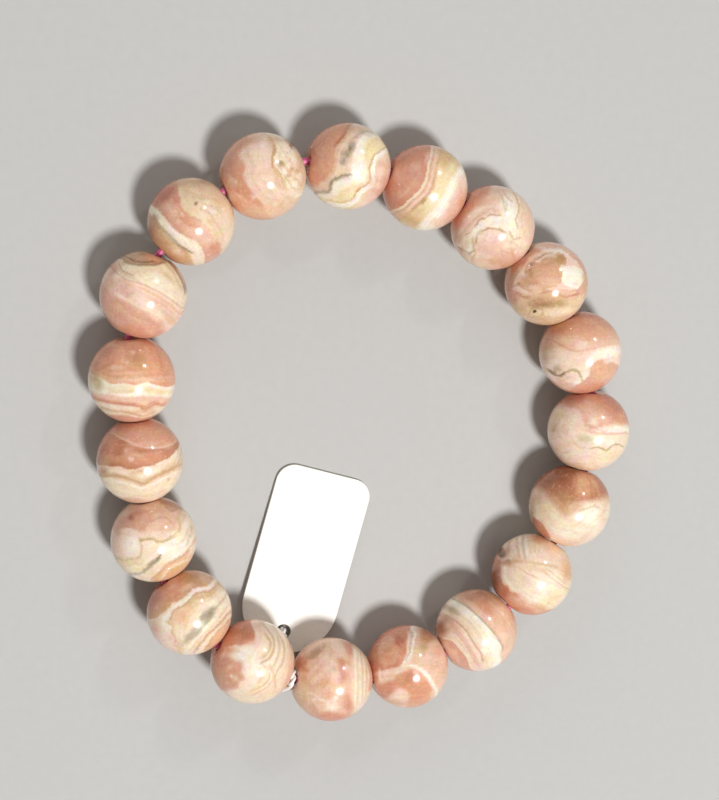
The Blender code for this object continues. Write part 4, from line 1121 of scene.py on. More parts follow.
# A brown-rose cap with a pink lens in it, over cream bands with brown lines
BALLS[16] = ("salmon", [
    spot("rose", (-20, 94), (70, 16), 0.8, 0.8),
    spot("pink", (10, 54), (44, 22), 0.9, 0.9, turn=-12),
    spot("blush", (20, 36), (26, 6), 0.5, 0.4, turn=-4),
    edge("sienna", (-40, 10), [(-100, 95), (-76, 78), (-58, 62), (-33, 47), (-10, 33), (14, 25), (43, 24),
        (64, 27), (80, 36), (100, 50)], 0.2),
    vein("shell", 0.22, [(-56, 62), (-30, 47), (-8, 34), (16, 27), (44, 26), (66, 29), (82, 38)], 0.72),
    # painted shade: a darker mark on the upper left rim, partly the stone's own colour and partly the shade
    # of the ball's shaded side
    spot("rose", (-72, 40), (26, 26), 0.9, 0.8, turn=-40),
    spot("pink", (-22, 18), (14, 20), 0.7, 0.5, turn=-10),
    spot("pink", (34, 14), (30, 6), 0.7, 0.4, turn=4),
    spot("salmon", (20, 0), (44, 10), 0.8, 0.5, turn=6),
    spot("salmon", (-60, 6), (24, 8), 0.6, 0.4, turn=-10),
    spot("shell", (-20, 4), (5, 5), 0.5, 0.2, turn=30),
    spot("shell", (-30, 24), (4, 5), 0.4, 0.2),
    edge("cream", (0, -35), [(-100, 0), (-90, -8), (-65, -11), (-46, -12), (-34, -17), (-18, -21), (8, -17),
        (33, -12), (50, -4), (66, 2), (82, 16), (100, 34)]),
    vein("peach", 0.22, [(-90, -12), (-65, -17), (-38, -20), (-16, -26), (10, -22), (34, -17)], 0.6, 0.2),
    vein("milk", 0.4, [(-30, -30), (0, -34), (26, -28), (56, -12), (80, 4)], 0.5, 0.3),
    edge("sand", (0, -48), [(-100, -20), (-65, -25), (-35, -31), (0, -43), (30, -33), (62, -17),
        (100, -2)], 0.35),
    vein("hazel", 0.34, [(-100, -30), (-80, -33), (-65, -31), (-35, -39), (-10, -48), (4, -54), (23, -46),
        (45, -36), (68, -25), (90, -16)], 0.8, 0.2),
    edge("cream", (0, -80), [(-100, -36), (-65, -38), (-35, -46), (-10, -55), (4, -60), (25, -52), (50, -41),
        (75, -30), (100, -24)], 0.16),
    vein("milk", 0.3, [(-76, -44), (-38, -52), (4, -66), (40, -50), (80, -36)], 0.7, 0.2),
    vein("butter", 0.4, [(-74, -56), (-38, -62), (5, -76), (40, -62), (76, -48)], 0.7, 0.3),
    vein("sand", 0.22, [(-60, -70), (-20, -78), (15, -84), (50, -72)], 0.7, 0.2),
    spot("pink", (-25, -92), (36, 8), 0.7, 0.3, turn=-6),
    vein("sage", 0.21, [(95, 14), (93, 0), (87, -10)], 0.75),
    vein("hazel", 0.2, [(88, 16), (86, 4), (80, -6)], 0.52),
    spot("sage", (62, -46), (3, 3.5), 0.5, 0.1),
    spot("blush", (-4, 10), (10, 5), 0.4, 0.3, turn=-20),
    # painted shade: a darker mark on the left rim, partly the stone's own colour and partly the shade of the
    # ball's shaded side
    spot("tan", (-84, -4), (14, 6), 0.5, 0.3, turn=-10),
    spot("pink", (-6, 86), (20, 6)),
    # painted shade: a darker mark on the left rim, partly the stone's own colour and partly the shade of the
    # ball's shaded side
    spot("sienna", (-83, -21), (9, 8)),
    spot("blush", (66, 28), (8, 6), 0.7, 0.3),
    spot("tan", (-22, -31), (12, 5), 0.7, 0.25, turn=-15),
    spot("tan", (-1, -25), (12, 4), 0.6, 0.25),
    # painted shade: a darker mark on the left rim, partly the stone's own colour and partly the shade of the
    # ball's shaded side
    spot("deep_rose", (-81, 30), (9, 12), 0.5, 0.4),
])

# An orange-rose cap over a milk and yellow band, then fine rose and tan bands
BALLS[17] = ("apricot", [
    # painted shade: a darker mark on the upper left rim, partly the stone's own colour and partly the shade
    # of the ball's shaded side
    spot("rose", (-66, 64), (30, 28), 0.7, 0.9, turn=30),
    spot("pink", (0, 80), (34, 14), 0.7, 0.8),
    spot("salmon", (84, 20), (16, 44), 0.9, 0.7),
    spot("hazel", (12, 44), (22, 24), 0.55, 0.8, turn=-8),
    vein("sienna", 0.3, [(6, 66), (10, 46), (4, 30)], 0.5, 0.25),
    vein("sienna", 0.23, [(60, 60), (66, 36), (70, 14)], 0.62, 0.25),
    vein("blush", 0.32, [(34, 70), (38, 46), (34, 24)], 0.5, 0.25),
    vein("blush", 0.32, [(-20, 72), (-16, 50), (-20, 34)], 0.5, 0.25),
    vein("salmon", 0.2, [(-84, 34), (-66, 40), (-46, 30), (-26, 28)], 0.9, 0.2),
    spot("blush", (-30, 26), (18, 4), 0.8, 0.2, turn=-6),
    spot("blush", (-10, 14), (34, 4), 0.7, 0.2),
    spot("salmon", (10, 20), (34, 5), 0.7, 0.3),
    spot("tan", (-10, 6), (40, 4), 0.8, 0.25),
    spot("blush", (20, -2), (60, 6), 0.9, 0.3),
    # painted shade: a darker mark on the left rim, partly the stone's own colour and partly the shade of the
    # ball's shaded side
    spot("tan", (-76, 16), (14, 6), 0.8, 0.3, turn=15),
    edge("milk", (0, -20), [(-100, 22), (-86, 14), (-72, 6), (-60, -2), (-46, -10), (-18, -10), (10, -13),
        (34, -9), (50, -14), (72, -20), (100, -18)], 0.16),
    spot("butter", (-76, -6), (16, 16), 0.7, 0.5, turn=15),
    spot("olive", (-76, -6), (10, 16), 0.75, 0.4, turn=15),
    vein("olive", 0.3, [(-40, -26), (-20, -29), (-2, -28)], 0.85, 0.2),
    vein("butter", 0.5, [(-44, -24), (-20, -28), (5, -25), (30, -24), (62, -32), (90, -34)], 0.85, 0.3),
    edge("blush", (0, -45), [(-100, -26), (-60, -32), (-20, -38), (20, -40), (50, -42), (100, -46)], 0.35),
    vein("salmon", 0.42, [(-90, -36), (-74, -43), (-47, -49), (-14, -55), (12, -58), (26, -66), (36, -60),
        (49, -54), (62, -60), (76, -58)], 0.9, 0.16),
    vein("deep_rose", 0.21, [(-86, -38), (-70, -46), (-45, -52), (-14, -57), (12, -62), (28, -70), (48, -60),
        (70, -62)], 0.72),
    edge("cream", (0, -67), [(-95, -44), (-72, -51), (-47, -56), (-14, -61), (12, -66), (28, -75), (50, -66),
        (80, -68)], 0.1),
    vein("tan", 0.24, [(-72, -60), (-50, -69), (-18, -72), (10, -80), (24, -84), (46, -78)], 0.8, 0.16),
    vein("hazel", 0.2, [(-66, -64), (-46, -72), (-18, -74), (12, -83)], 0.72),
    edge("pink", (0, -94), [(-80, -68), (-50, -78), (-18, -80), (17, -90), (50, -86)], 0.16),
    spot("butter", (52, -30), (22, 6), 0.9, 0.3, turn=-8),
    spot("shell", (6, 60), (5, 7), 0.5, 0.2, turn=20),
    spot("shell", (-8, 36), (4, 6), 0.5, 0.2),
    spot("shell", (30, 30), (5, 4), 0.5, 0.2),
    spot("tan", (20, -74), (26, 4), 0.7, 0.25, turn=6),
    # painted shade: a darker mark on the upper left rim, partly the stone's own colour and partly the shade
    # of the ball's shaded side
    spot("sienna", (-60, 30), (16, 4), 0.5, 0.25, turn=20),
    spot("golden", (20, 30), (30, 8), 0.4, 0.4, turn=-4),
    spot("butter", (-10, -18), (34, 5), 0.7, 0.25, turn=-2),
    # painted shade: a darker mark on the left rim, partly the stone's own colour and partly the shade of the
    # ball's shaded side
    spot("tan", (-88, 10), (12, 10), 0.55, 0.5, turn=20),
    spot("blush", (6, 85), (16, 7), 0.7),
    # painted shade: a darker mark on the upper left rim, partly the stone's own colour and partly the shade
    # of the ball's shaded side
    spot("sienna", (-56, 65), (12, 8), 0.6, 0.4, turn=35),
    # painted shade: a darker mark on the left rim, partly the stone's own colour and partly the shade of the
    # ball's shaded side
    spot("sienna", (-79, 32), (8, 10), 0.5, 0.4),
    spot("pink", (-18, 83), (10, 6), 0.5),
    spot("tan", (-47, -71), (12, 5), 0.5, 0.3, turn=-20),
    # painted shade: a darker mark on the left rim, partly the stone's own colour and partly the shade of the
    # ball's shaded side
    spot("hazel", (-84, 9), (7, 8), 0.4),
])

# A brown lens at the top of cream stone, then pink and peach bands on a slant
BALLS[18] = ("cream", [
    spot("butter", (30, 44), (50, 16), 0.6, 0.8, turn=-20),
    spot("oat", (5, 50), (50, 6), 0.5, 0.4),
    spot("milk", (30, 30), (30, 10), 0.6, 0.5, turn=-20),
    spot("olive", (26, 44), (52, 20), 0.1, 1.0, turn=-25),
    patch("hazel", [(-42, 90), (-38, 76), (-22, 70), (2, 66), (28, 66), (48, 72), (60, 90),
        (10, 110)], 0.85, 0.12),
    spot("apricot", (24, 84), (22, 10), 0.95, 0.3, turn=-6),
    spot("tan", (-8, 82), (12, 8), 0.7, 0.3),
    vein("umber", 0.25, [(-44, 86), (-36, 74), (-16, 68), (6, 66), (28, 66), (50, 72)], 0.75, 0.14),
    vein("umber", 0.21, [(-30, 84), (-16, 76), (6, 73), (22, 74)], 0.9),
    edge("pink", (-80, 20), [(-50, 100), (-56, 70), (-60, 50), (-62, 10), (-70, -30), (-80, -70)], 0.8),
    # painted shade: a darker mark on the left rim, partly the stone's own colour and partly the shade of the
    # ball's shaded side
    spot("rose", (-94, 5), (14, 60), 0.6, 0.6),
    edge("shell", (0, 0), [(-82, 78), (-60, 52), (-36, 34), (-5, 26), (25, 11), (55, -7), (87, -34),
        (100, -48)]),
    vein("hazel", 0.23, [(-70, 68), (-58, 52), (-36, 35), (-5, 26), (25, 11), (55, -7), (88, -34)], 0.6),
    vein("hazel", 0.2, [(-52, 70), (-44, 54), (-26, 46)], 0.8),
    spot("pink", (-40, 12), (30, 16), 0.6, 0.6, turn=-25),
    vein("peach", 0.26, [(-50, 34), (-30, 24), (-2, 14), (28, 0), (56, -20), (80, -44)], 0.9, 0.2),
    vein("hazel", 0.2, [(14, 4), (36, -8), (60, -26), (80, -46)], 0.4),
    vein("shell", 0.2, [(-36, 30), (-22, 30), (-16, 22)], 0.7, 0.2),
    spot("pink", (34, -24), (34, 12), 0.6, 0.5, turn=-32),
    spot("sage", (-30, 0), (9, 4), 0.5, 0.25, turn=30),
    spot("sage", (48, -44), (8, 5), 0.4, 0.3, turn=-35),
    edge("pink", (-20, -60), [(-100, 40), (-62, 0), (-40, -12), (-10, -30), (20, -48), (42, -66),
        (50, -100)], 0.5),
    vein("cream", 0.32, [(-56, 2), (-40, -7), (-20, -18), (5, -33), (34, -48), (54, -66),
        (62, -80)], 0.85, 0.16),
    spot("rose", (-14, -84), (44, 16), 0.9, 0.8, turn=-12),
    spot("salmon", (-66, -40), (20, 20), 0.6, 0.8, turn=-40),
    spot("blush", (-20, -50), (30, 10), 0.5, 0.6, turn=-30),
    spot("tan", (58, -56), (16, 9), 0.6, 0.5, turn=-40),
    vein("umber", 0.26, [(50, 84), (72, 60), (90, 26), (94, 4)]),
    vein("hazel", 0.3, [(60, 78), (82, 46), (95, 16)], 0.75),
    vein("olive", 0.3, [(50, 72), (70, 46), (84, 14)], 0.62),
    vein("hazel", 0.22, [(-62, 76), (-54, 60), (-40, 46), (-20, 38)], 0.6, 0.16),
    vein("rust", 0.2, [(-24, 80), (-8, 79), (8, 78)], 0.5, 0.16),
    spot("olive", (56, 40), (16, 5), 0.5, 0.3, turn=-50),
    # painted shade: a darker mark on the left rim, partly the stone's own colour and partly the shade of the
    # ball's shaded side
    spot("salmon", (-74, 30), (12, 16), 0.5, 0.4, turn=10),
    spot("shell", (-6, -14), (16, 6), 0.6, 0.3, turn=-30),
    spot("pink", (-24, -72), (26, 10), 0.4, 0.6, turn=-20),
    spot("milk", (28, 42), (20, 7), 0.5, 0.4, turn=-25),
    spot("hazel", (-41, 75), (8, 7), 0.5, 0.3),
    # painted shade: a darker mark on the upper left rim, partly the stone's own colour and partly the shade
    # of the ball's shaded side
    spot("sienna", (-66, 55), (8, 10), 0.5, turn=-30),
    spot("peach", (61, -60), (9, 8), 0.6),
    spot("blush", (12, -85), (12, 6), 0.6, 0.4),
    spot("blush", (-55, -27), (9, 8), 0.6, 0.4),
    spot("shell", (25, -54), (10, 6), 0.6, 0.3, turn=-35),
])

# Cream at the upper right, a rose band, a white seam with a grey line, and a tan lower left
BALLS[19] = ("pink", [
    # painted shade: a darker mark on the upper left rim, partly the stone's own colour and partly the shade
    # of the ball's shaded side
    spot("deep_rose", (-56, 64), (34, 15), 0.85, 0.5, turn=40),
    # painted shade: a darker mark on the upper left rim, partly the stone's own colour and partly the shade
    # of the ball's shaded side
    spot("deep_rose", (-78, 50), (10, 18), 0.5, 0.4, turn=-35),
    spot("rose", (-30, 54), (8, 12), 0.7, 0.3),
    spot("salmon", (-16, 4), (14, 28), 0.6, 0.5, turn=35),
    spot("blush", (-42, 28), (16, 10), 0.7, 0.4, turn=-40),
    spot("shell", (-20, 16), (5, 5), 0.5, 0.2),
    spot("shell", (-28, 2), (5, 4), 0.5, 0.2, turn=30),
    spot("blush", (24, -34), (34, 22), 0.8, 0.9, turn=-30),
    vein("rose", 0.2, [(-14, 16), (-2, -2), (12, -10)], 0.5, 0.2),
    edge("sand", (30, 50), [(-32, 110), (-28, 80), (-26, 64), (-20, 50), (-20, 36), (-12, 24), (-2, 12),
        (10, 10), (22, 0), (36, -10), (46, -36), (70, -80)], 0.2),
    spot("cream", (26, 44), (34, 28), 0.35, 0.6, turn=-35),
    spot("tan", (0, 92), (40, 10), 0.7, 0.5),
    spot("oat", (66, 62), (20, 12), 0.8, 0.5, turn=-40),
    spot("cream", (46, 8), (34, 26), 0.7, 0.8, turn=-40),
    vein("cream", 0.3, [(-20, 62), (-10, 42), (0, 24), (16, 16)], 0.6, 0.25),
    vein("tan", 0.23, [(-6, 66), (14, 58), (36, 56), (56, 46)], 0.62, 0.2),
    vein("tan", 0.23, [(30, 26), (48, 10), (60, -8)], 0.62, 0.2),
    spot("tan", (22, 74), (10, 5), 0.5, 0.3, turn=-15),
    spot("umber", (11, 40), (3, 3), 0.7, 0.12),
    spot("umber", (14, 44), (2, 2), 0.5, 0.1),
    spot("umber", (46, 34.5), (4.5, 2), 0.7, 0.12, turn=-15),
    spot("umber", (33, 40), (2, 2.5), 0.35, 0.1),
    spot("umber", (40, 18), (2, 2), 0.35, 0.1),
    spot("umber", (60, 24), (2, 2.5), 0.3, 0.1),
    spot("umber", (22, 28), (1.5, 2), 0.3, 0.1),
    spot("cream", (84, -26), (20, 46), 0.9, 0.6),
    vein("tan", 0.21, [(64, -16), (70, -34), (66, -52)], 0.62),
    spot("rose", (52, -58), (12, 17), 0.8, 0.3, turn=10),
    spot("pink", (30, -80), (20, 14), 0.7, 0.5),
    edge("cream", (-45, -25), [(-100, 46), (-78, 32), (-62, 14), (-44, -8), (-26, -26), (-4, -38), (16, -50),
        (25, -64), (27, -80), (26, -100)]),
    vein("milk", 0.5, [(-80, 22), (-62, 0), (-40, -24), (-12, -44), (8, -60), (16, -82)], 0.9, 0.16),
    edge("tan", (-70, -50), [(-100, 24), (-86, 14), (-70, -10), (-50, -34), (-28, -54), (-6, -68),
        (4, -100)], 0.16),
    vein("sage", 0.34, [(-82, 12), (-70, -8), (-50, -32), (-30, -50), (-6, -66)], 0.9, 0.16),
    vein("umber", 0.2, [(-28, -52), (-16, -60), (-4, -68)], 0.72),
    vein("cream", 0.23, [(-86, 0), (-72, -20), (-52, -44), (-34, -60)], 0.62, 0.2),
    # painted shade: a darker mark on the left rim, partly the stone's own colour and partly the shade of the
    # ball's shaded side
    spot("sienna", (-88, -15), (12, 30), 0.7, 0.5, turn=20),
    spot("oat", (-34, -66), (16, 6), 0.7, 0.3, turn=-35),
    spot("sienna", (-50, -78), (30, 10), 0.6, 0.4, turn=-35),
    vein("hazel", 0.22, [(-74, 42), (-58, 15), (-40, -5), (-23, -22), (-2, -35)], 0.5, 0.14),
    spot("golden", (-66, -30), (12, 26), 0.5, 0.5, turn=40),
    spot("milk", (36, 44), (8, 5), 0.6, 0.2, turn=-20),
    spot("milk", (48, 26), (10, 5), 0.6, 0.2, turn=-40),
    spot("golden", (24, 52), (8, 4), 0.5, 0.25, turn=-10),
    spot("golden", (42, -2), (6, 9), 0.4, 0.25, turn=30),
    spot("hazel", (8, 56), (6, 3), 0.5, 0.2, turn=20),
    vein("hazel", 0.2, [(38, 32), (50, 28), (60, 30)], 0.5, 0.16),
    spot("shell", (80, 20), (8, 14), 0.5, 0.3),
    spot("blush", (-8, -14), (12, 8), 0.6, 0.3, turn=-30),
    # painted shade: a darker mark on the left rim, partly the stone's own colour and partly the shade of the
    # ball's shaded side
    spot("hazel", (-80, 11), (7, 7), 0.6, 0.3),
    spot("rose", (-33, 79), (8, 8), 0.6, 0.3),
    spot("hazel", (20, 84), (16, 6), 0.35, turn=-5),
    # painted shade: a darker mark on the left rim, partly the stone's own colour and partly the shade of the
    # ball's shaded side
    spot("sienna", (-85, -12), (7, 10), 0.5),
    spot("shell", (44, -43), (9, 7), 0.5),
    spot("salmon", (-1, -5), (9, 8), 0.6),
])


def linear_colour(text):
    """A linear colour with alpha from an sRGB hex value."""
    parts = [int(text[start:start + 2], 16) / 255 for start in (1, 3, 5)]
    return [part / 12.92 if part <= 0.04045 else ((part + 0.055) / 1.055) ** 2.4 for part in parts] + [1.0]


def add_node(tree, kind, settings=None, inputs=None):
    """Adds a node, sets its properties, and links or sets its inputs."""
    node = tree.nodes.new(kind)
    for name, value in (settings or {}).items():
        setattr(node, name, value)
    for socket, value in (inputs or {}).items():
        if isinstance(value, bpy.types.NodeSocket):
            tree.links.new(value, node.inputs[socket])
        else:
            node.inputs[socket].default_value = value
    return node


def new_material(name):
    """An empty material with its output node, and its tree."""
    material = bpy.data.materials.new(name)
    material.use_nodes = True
    material.node_tree.nodes.clear()
    return material, material.node_tree


def finish_material(tree, shader):
    """Joins the shader to the material's output."""
    add_node(tree, "ShaderNodeOutputMaterial", inputs={"Surface": shader.outputs[0]})


def places_in_mm(tree, start=(0.0, 0.0, 0.0)):
    """Each point's own place on its piece in millimetres, moved by start."""
    place = add_node(tree, "ShaderNodeTexCoord").outputs["Object"]
    return add_node(tree, "ShaderNodeMapping", inputs={
        "Vector": place, "Scale": (1 / MM,) * 3, "Location": start}).outputs[0]


def two_tones(tree, pattern, darker, lighter):
    """A colour that goes from the darker to the lighter one with a noise."""
    shade = add_node(tree, "ShaderNodeMapRange", inputs={
        "Value": pattern, "From Min": NOISE_LOW, "From Max": NOISE_HIGH}).outputs[0]
    return add_node(tree, "ShaderNodeMix", {"data_type": "RGBA"},
                    {"Factor": shade, 6: linear_colour(darker), 7: linear_colour(lighter)}).outputs[2]


def in_scene(name, data):
    """A new object in the scene."""
    thing = bpy.data.objects.new(name, data)
    bpy.context.scene.collection.objects.link(thing)
    return thing


def new_object(name, mesh, material):
    """A new object of one material."""
    mesh.materials.append(material)
    return in_scene(name, mesh)


def smooth_line(points, closed=False, steps=6):
    """More points on a smooth curve through the given ones."""
    points = np.array(points, float)
    if closed:
        padded = np.vstack((points[-1], points, points[:2]))
    else:
        padded = np.vstack((2 * points[0] - points[1], points, 2 * points[-1] - points[-2]))
    share = np.linspace(0, 1, steps, endpoint=False)[:, None]
    parts = []
    for a, b, c, d in zip(padded, padded[1:], padded[2:], padded[3:]):
        parts.append(0.5 * (2 * b + (c - a) * share + (2 * a - 5 * b + 4 * c - d) * share ** 2
                            + (3 * b - a - 3 * c + d) * share ** 3))
    if not closed:
        parts.append(points[-1:])
    return np.vstack(parts)


def line_distances(points, line):
    """Each point's distance to a line, positive on its left, the nearest stretch, and the share along it."""
    starts, spans = line[:-1], line[1:] - line[:-1]
    lengths = (spans ** 2).sum(1)
    offsets = points[:, None, :] - starts[None]
    shares = np.clip((offsets * spans).sum(2) / lengths, 0, 1)
    gaps = np.linalg.norm(offsets - shares[:, :, None] * spans, axis=2)
    nearest = gaps.argmin(1)
    rows = np.arange(len(points))
    span, offset = spans[nearest], offsets[rows, nearest]
    side = np.sign(span[:, 0] * offset[:, 1] - span[:, 1] * offset[:, 0])
    return gaps[rows, nearest] * np.where(side == 0, 1, side), nearest, shares[rows, nearest]


def open_line_field(points, line):
    """Signed distance to a line that runs on straight past its ends, and the distance past the nearer end."""
    smooth = smooth_line(line)
    start, end = smooth[0] - smooth[1], smooth[-1] - smooth[-2]
    first = smooth[0] + start / np.linalg.norm(start) * LINE_RUNS_ON
    last = smooth[-1] + end / np.linalg.norm(end) * LINE_RUNS_ON
    distance, nearest, share = line_distances(points, np.vstack((first, smooth, last)))
    before = np.where(nearest == 0, (1 - share) * LINE_RUNS_ON, 0)
    after = np.where(nearest == len(smooth), share * LINE_RUNS_ON, 0)
    return distance, before + after


def closed_line_field(points, line):
    """Signed distance to a closed outline, positive inside."""
    smooth = smooth_line(line, closed=True)
    ring = np.vstack((smooth, smooth[:1]))
    distance = np.abs(line_distances(points, ring)[0])
    inside = np.zeros(len(points), bool)
    for (ax, ay), (bx, by) in zip(ring, ring[1:]):
        crosses = (ay > points[:, 1]) != (by > points[:, 1])
        reach = ax + (points[:, 1] - ay) * (bx - ax) / (by - ay if by != ay else 1e-9)
        inside ^= crosses & (points[:, 0] < reach)
    return np.where(inside, distance, -distance)


def oval_field(points, middle, radii, turn):
    """Roughly the signed distance to an oval, positive inside."""
    angle = math.radians(turn)
    offset = points - middle
    across = (offset[:, 0] * math.cos(angle) + offset[:, 1] * math.sin(angle)) / radii[0]
    up = (offset[:, 1] * math.cos(angle) - offset[:, 0] * math.sin(angle)) / radii[1]
    return (1 - np.hypot(across, up)) * min(radii)


def mark_field(points, mark):
    """A mark's distances in millimetres: into the mark, and past its ends."""
    past = np.zeros(len(points))
    if mark["form"] == "spot":
        field = oval_field(points, mark["middle"], mark["radii"], mark["turn"])
    elif mark["form"] == "patch":
        field = closed_line_field(points, mark["line"])
    else:
        field, past = open_line_field(points, mark["line"])
        if mark["form"] == "edge":
            field = field * np.sign(open_line_field(mark["beside"], mark["line"])[0][0])
    return field * BALL_RADIUS / MM, past * BALL_RADIUS / MM


def layer_field(points, marks):
    """How deep in the run of layers each point lies, in millimetres: level lines follow the nearest edge."""
    total, weight = np.zeros(len(points)), np.zeros(len(points))
    for mark in marks:
        if mark["form"] != "edge":
            continue
        field = mark_field(points, mark)[0]
        start = mark_field(np.zeros((1, 2)), mark)[0][0]
        near = 1 / (np.abs(field) + EDGE_PULL) ** 2
        total += near * (field - start)
        weight += near
    if not weight.any():
        return points[:, 1] * BALL_RADIUS / MM
    return total / weight


def turned_profile():
    """Half a ball's section as (distance from the hole's axis, height), from the middle of the hole round."""
    hole = [(HOLE_RADIUS, height * MM) for height in HOLE_HEIGHTS]
    rim = []
    for step in range(RIM_STEPS + 1):
        angle = math.pi - math.pi / 2 * step / RIM_STEPS
        rim.append((HOLE_RADIUS + RIM_RADIUS + RIM_RADIUS * math.cos(angle),
                    MOUTH_REACH - RIM_RADIUS + RIM_RADIUS * math.sin(angle)))
    end_height = math.sqrt(BALL_RADIUS ** 2 - END_RADIUS ** 2)
    ground = []
    for step in range(1, END_STEPS):
        share = step / END_STEPS
        ease = share * share * (3 - 2 * share)
        ground.append((rim[-1][0] + (END_RADIUS - rim[-1][0]) * share,
                       MOUTH_REACH + (end_height - MOUTH_REACH) * ease))
    start = math.asin(END_RADIUS / BALL_RADIUS)
    ball = []
    for step in range(ARC_STEPS + 1):
        angle = start + (math.pi / 2 - start) * step / ARC_STEPS
        ball.append((BALL_RADIUS * math.sin(angle), BALL_RADIUS * math.cos(angle)))
    return hole + rim + ground + ball


def turned_ball():
    """Points and faces of a drilled ball turned about Z."""
    upper = turned_profile()
    lower = [(distance, -height) for distance, height in reversed(upper[1:-1])]
    section = upper + lower
    angles = np.linspace(0, math.tau, BALL_SIDES, endpoint=False)
    points = np.array([(distance * math.cos(angle), distance * math.sin(angle), height)
                       for angle in angles for distance, height in section])
    faces = []
    count = len(section)
    for side in range(BALL_SIDES):
        here, there = side * count, (side + 1) % BALL_SIDES * count
        for row in range(count):
            above = (row + 1) % count
            faces.append((here + row, here + above, there + above, there + row))
    return points, faces


def hole_mouths(number):
    """The middle of a ball and its hole's direction, from its CAD solid."""
    low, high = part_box("bead_%02d" % number)
    middle = (low + high) / 2
    offsets = [vertex.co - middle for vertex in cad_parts["bead_%02d" % number].data.vertices]
    near = [offset for offset in offsets if offset.length < HOLE_CORNER_REACH]
    axis = sum((offset if offset.dot(near[0]) > 0 else -offset for offset in near), Vector())
    return middle, axis.normalized()


def ring_of_balls():
    """Middles and hole directions in order, each direction pointing on to the next ball."""
    middles, axes = zip(*[hole_mouths(number) for number in range(1, BALL_COUNT + 1)])
    turned = []
    for index, axis in enumerate(axes):
        onward = middles[(index + 1) % BALL_COUNT] - middles[index - 1]
        turned.append(axis if axis.dot(onward) > 0 else -axis)
    return list(middles), turned


def joints_between(middles, axes):
    """The point between the facing hole mouths after each ball, and the direction of the cord there."""
    joints, headings = [], []
    for index in range(BALL_COUNT):
        following = (index + 1) % BALL_COUNT
        mouth = middles[index] + axes[index] * MOUTH_REACH
        facing = middles[following] - axes[following] * MOUTH_REACH
        joints.append((mouth + facing) / 2)
        headings.append((axes[index] + axes[following]).normalized())
    return joints, headings


def pressed_back(points, place, heading):
    """Points past the plane between two neighbours come back to it along a soft curve."""
    past = (points - np.array(place)) @ np.array(heading) + TOUCH_GAP
    kept = -TOUCH_SOFTNESS * np.logaddexp(0, -past / TOUCH_SOFTNESS)
    return points + np.outer(np.where(past > -10 * TOUCH_SOFTNESS, kept - past, 0), np.array(heading))


def face_frame(middle):
    """Right, up and towards the camera at a ball, as rows."""
    towards = (CAMERA_PLACE - middle).normalized()
    right = Vector((math.cos(CAMERA_ROLL), math.sin(CAMERA_ROLL), 0.0))
    up = towards.cross(right).normalized()
    return np.array([up.cross(towards), up, towards])


def layer_places(points, middle, number):
    """Where each point of a ball reads its marks: straight in from the face, drifting on the far side."""
    local = (points - np.array(middle)) @ face_frame(middle).T / BALL_RADIUS
    depth = np.clip((DRIFT_BEGINS - local[:, 2]) / (DRIFT_BEGINS - DRIFT_IS_FULL), 0, 1)
    drift = depth * depth * (3 - 2 * depth)
    start = DRIFT_STEP * number
    shifts = np.array([noise.noise_vector(Vector(place) * DRIFT_SCALE + start) for place in local])
    lean = np.array([math.cos(LEAN_STEP * number), math.sin(LEAN_STEP * number)]) * LEAN_REACH
    carried = shifts[:, :2] * DRIFT_REACH + lean * np.clip(-local[:, 2:3], 0, 1)
    return local[:, :2] + drift[:, None] * carried


def drifting(tree, colour, drift, reach):
    """The colour made lighter and darker by a noise, by up to reach either way in red, green and blue."""
    gain = add_node(tree, "ShaderNodeVectorMath", {"operation": "MULTIPLY_ADD"},
                    {0: drift, 1: [part / NOISE_REACH for part in reach],
                     2: [1 - part * NOISE_MIDDLE / NOISE_REACH for part in reach]}).outputs[0]
    return add_node(tree, "ShaderNodeVectorMath", {"operation": "MULTIPLY"}, {0: colour, 1: gain}).outputs[0]


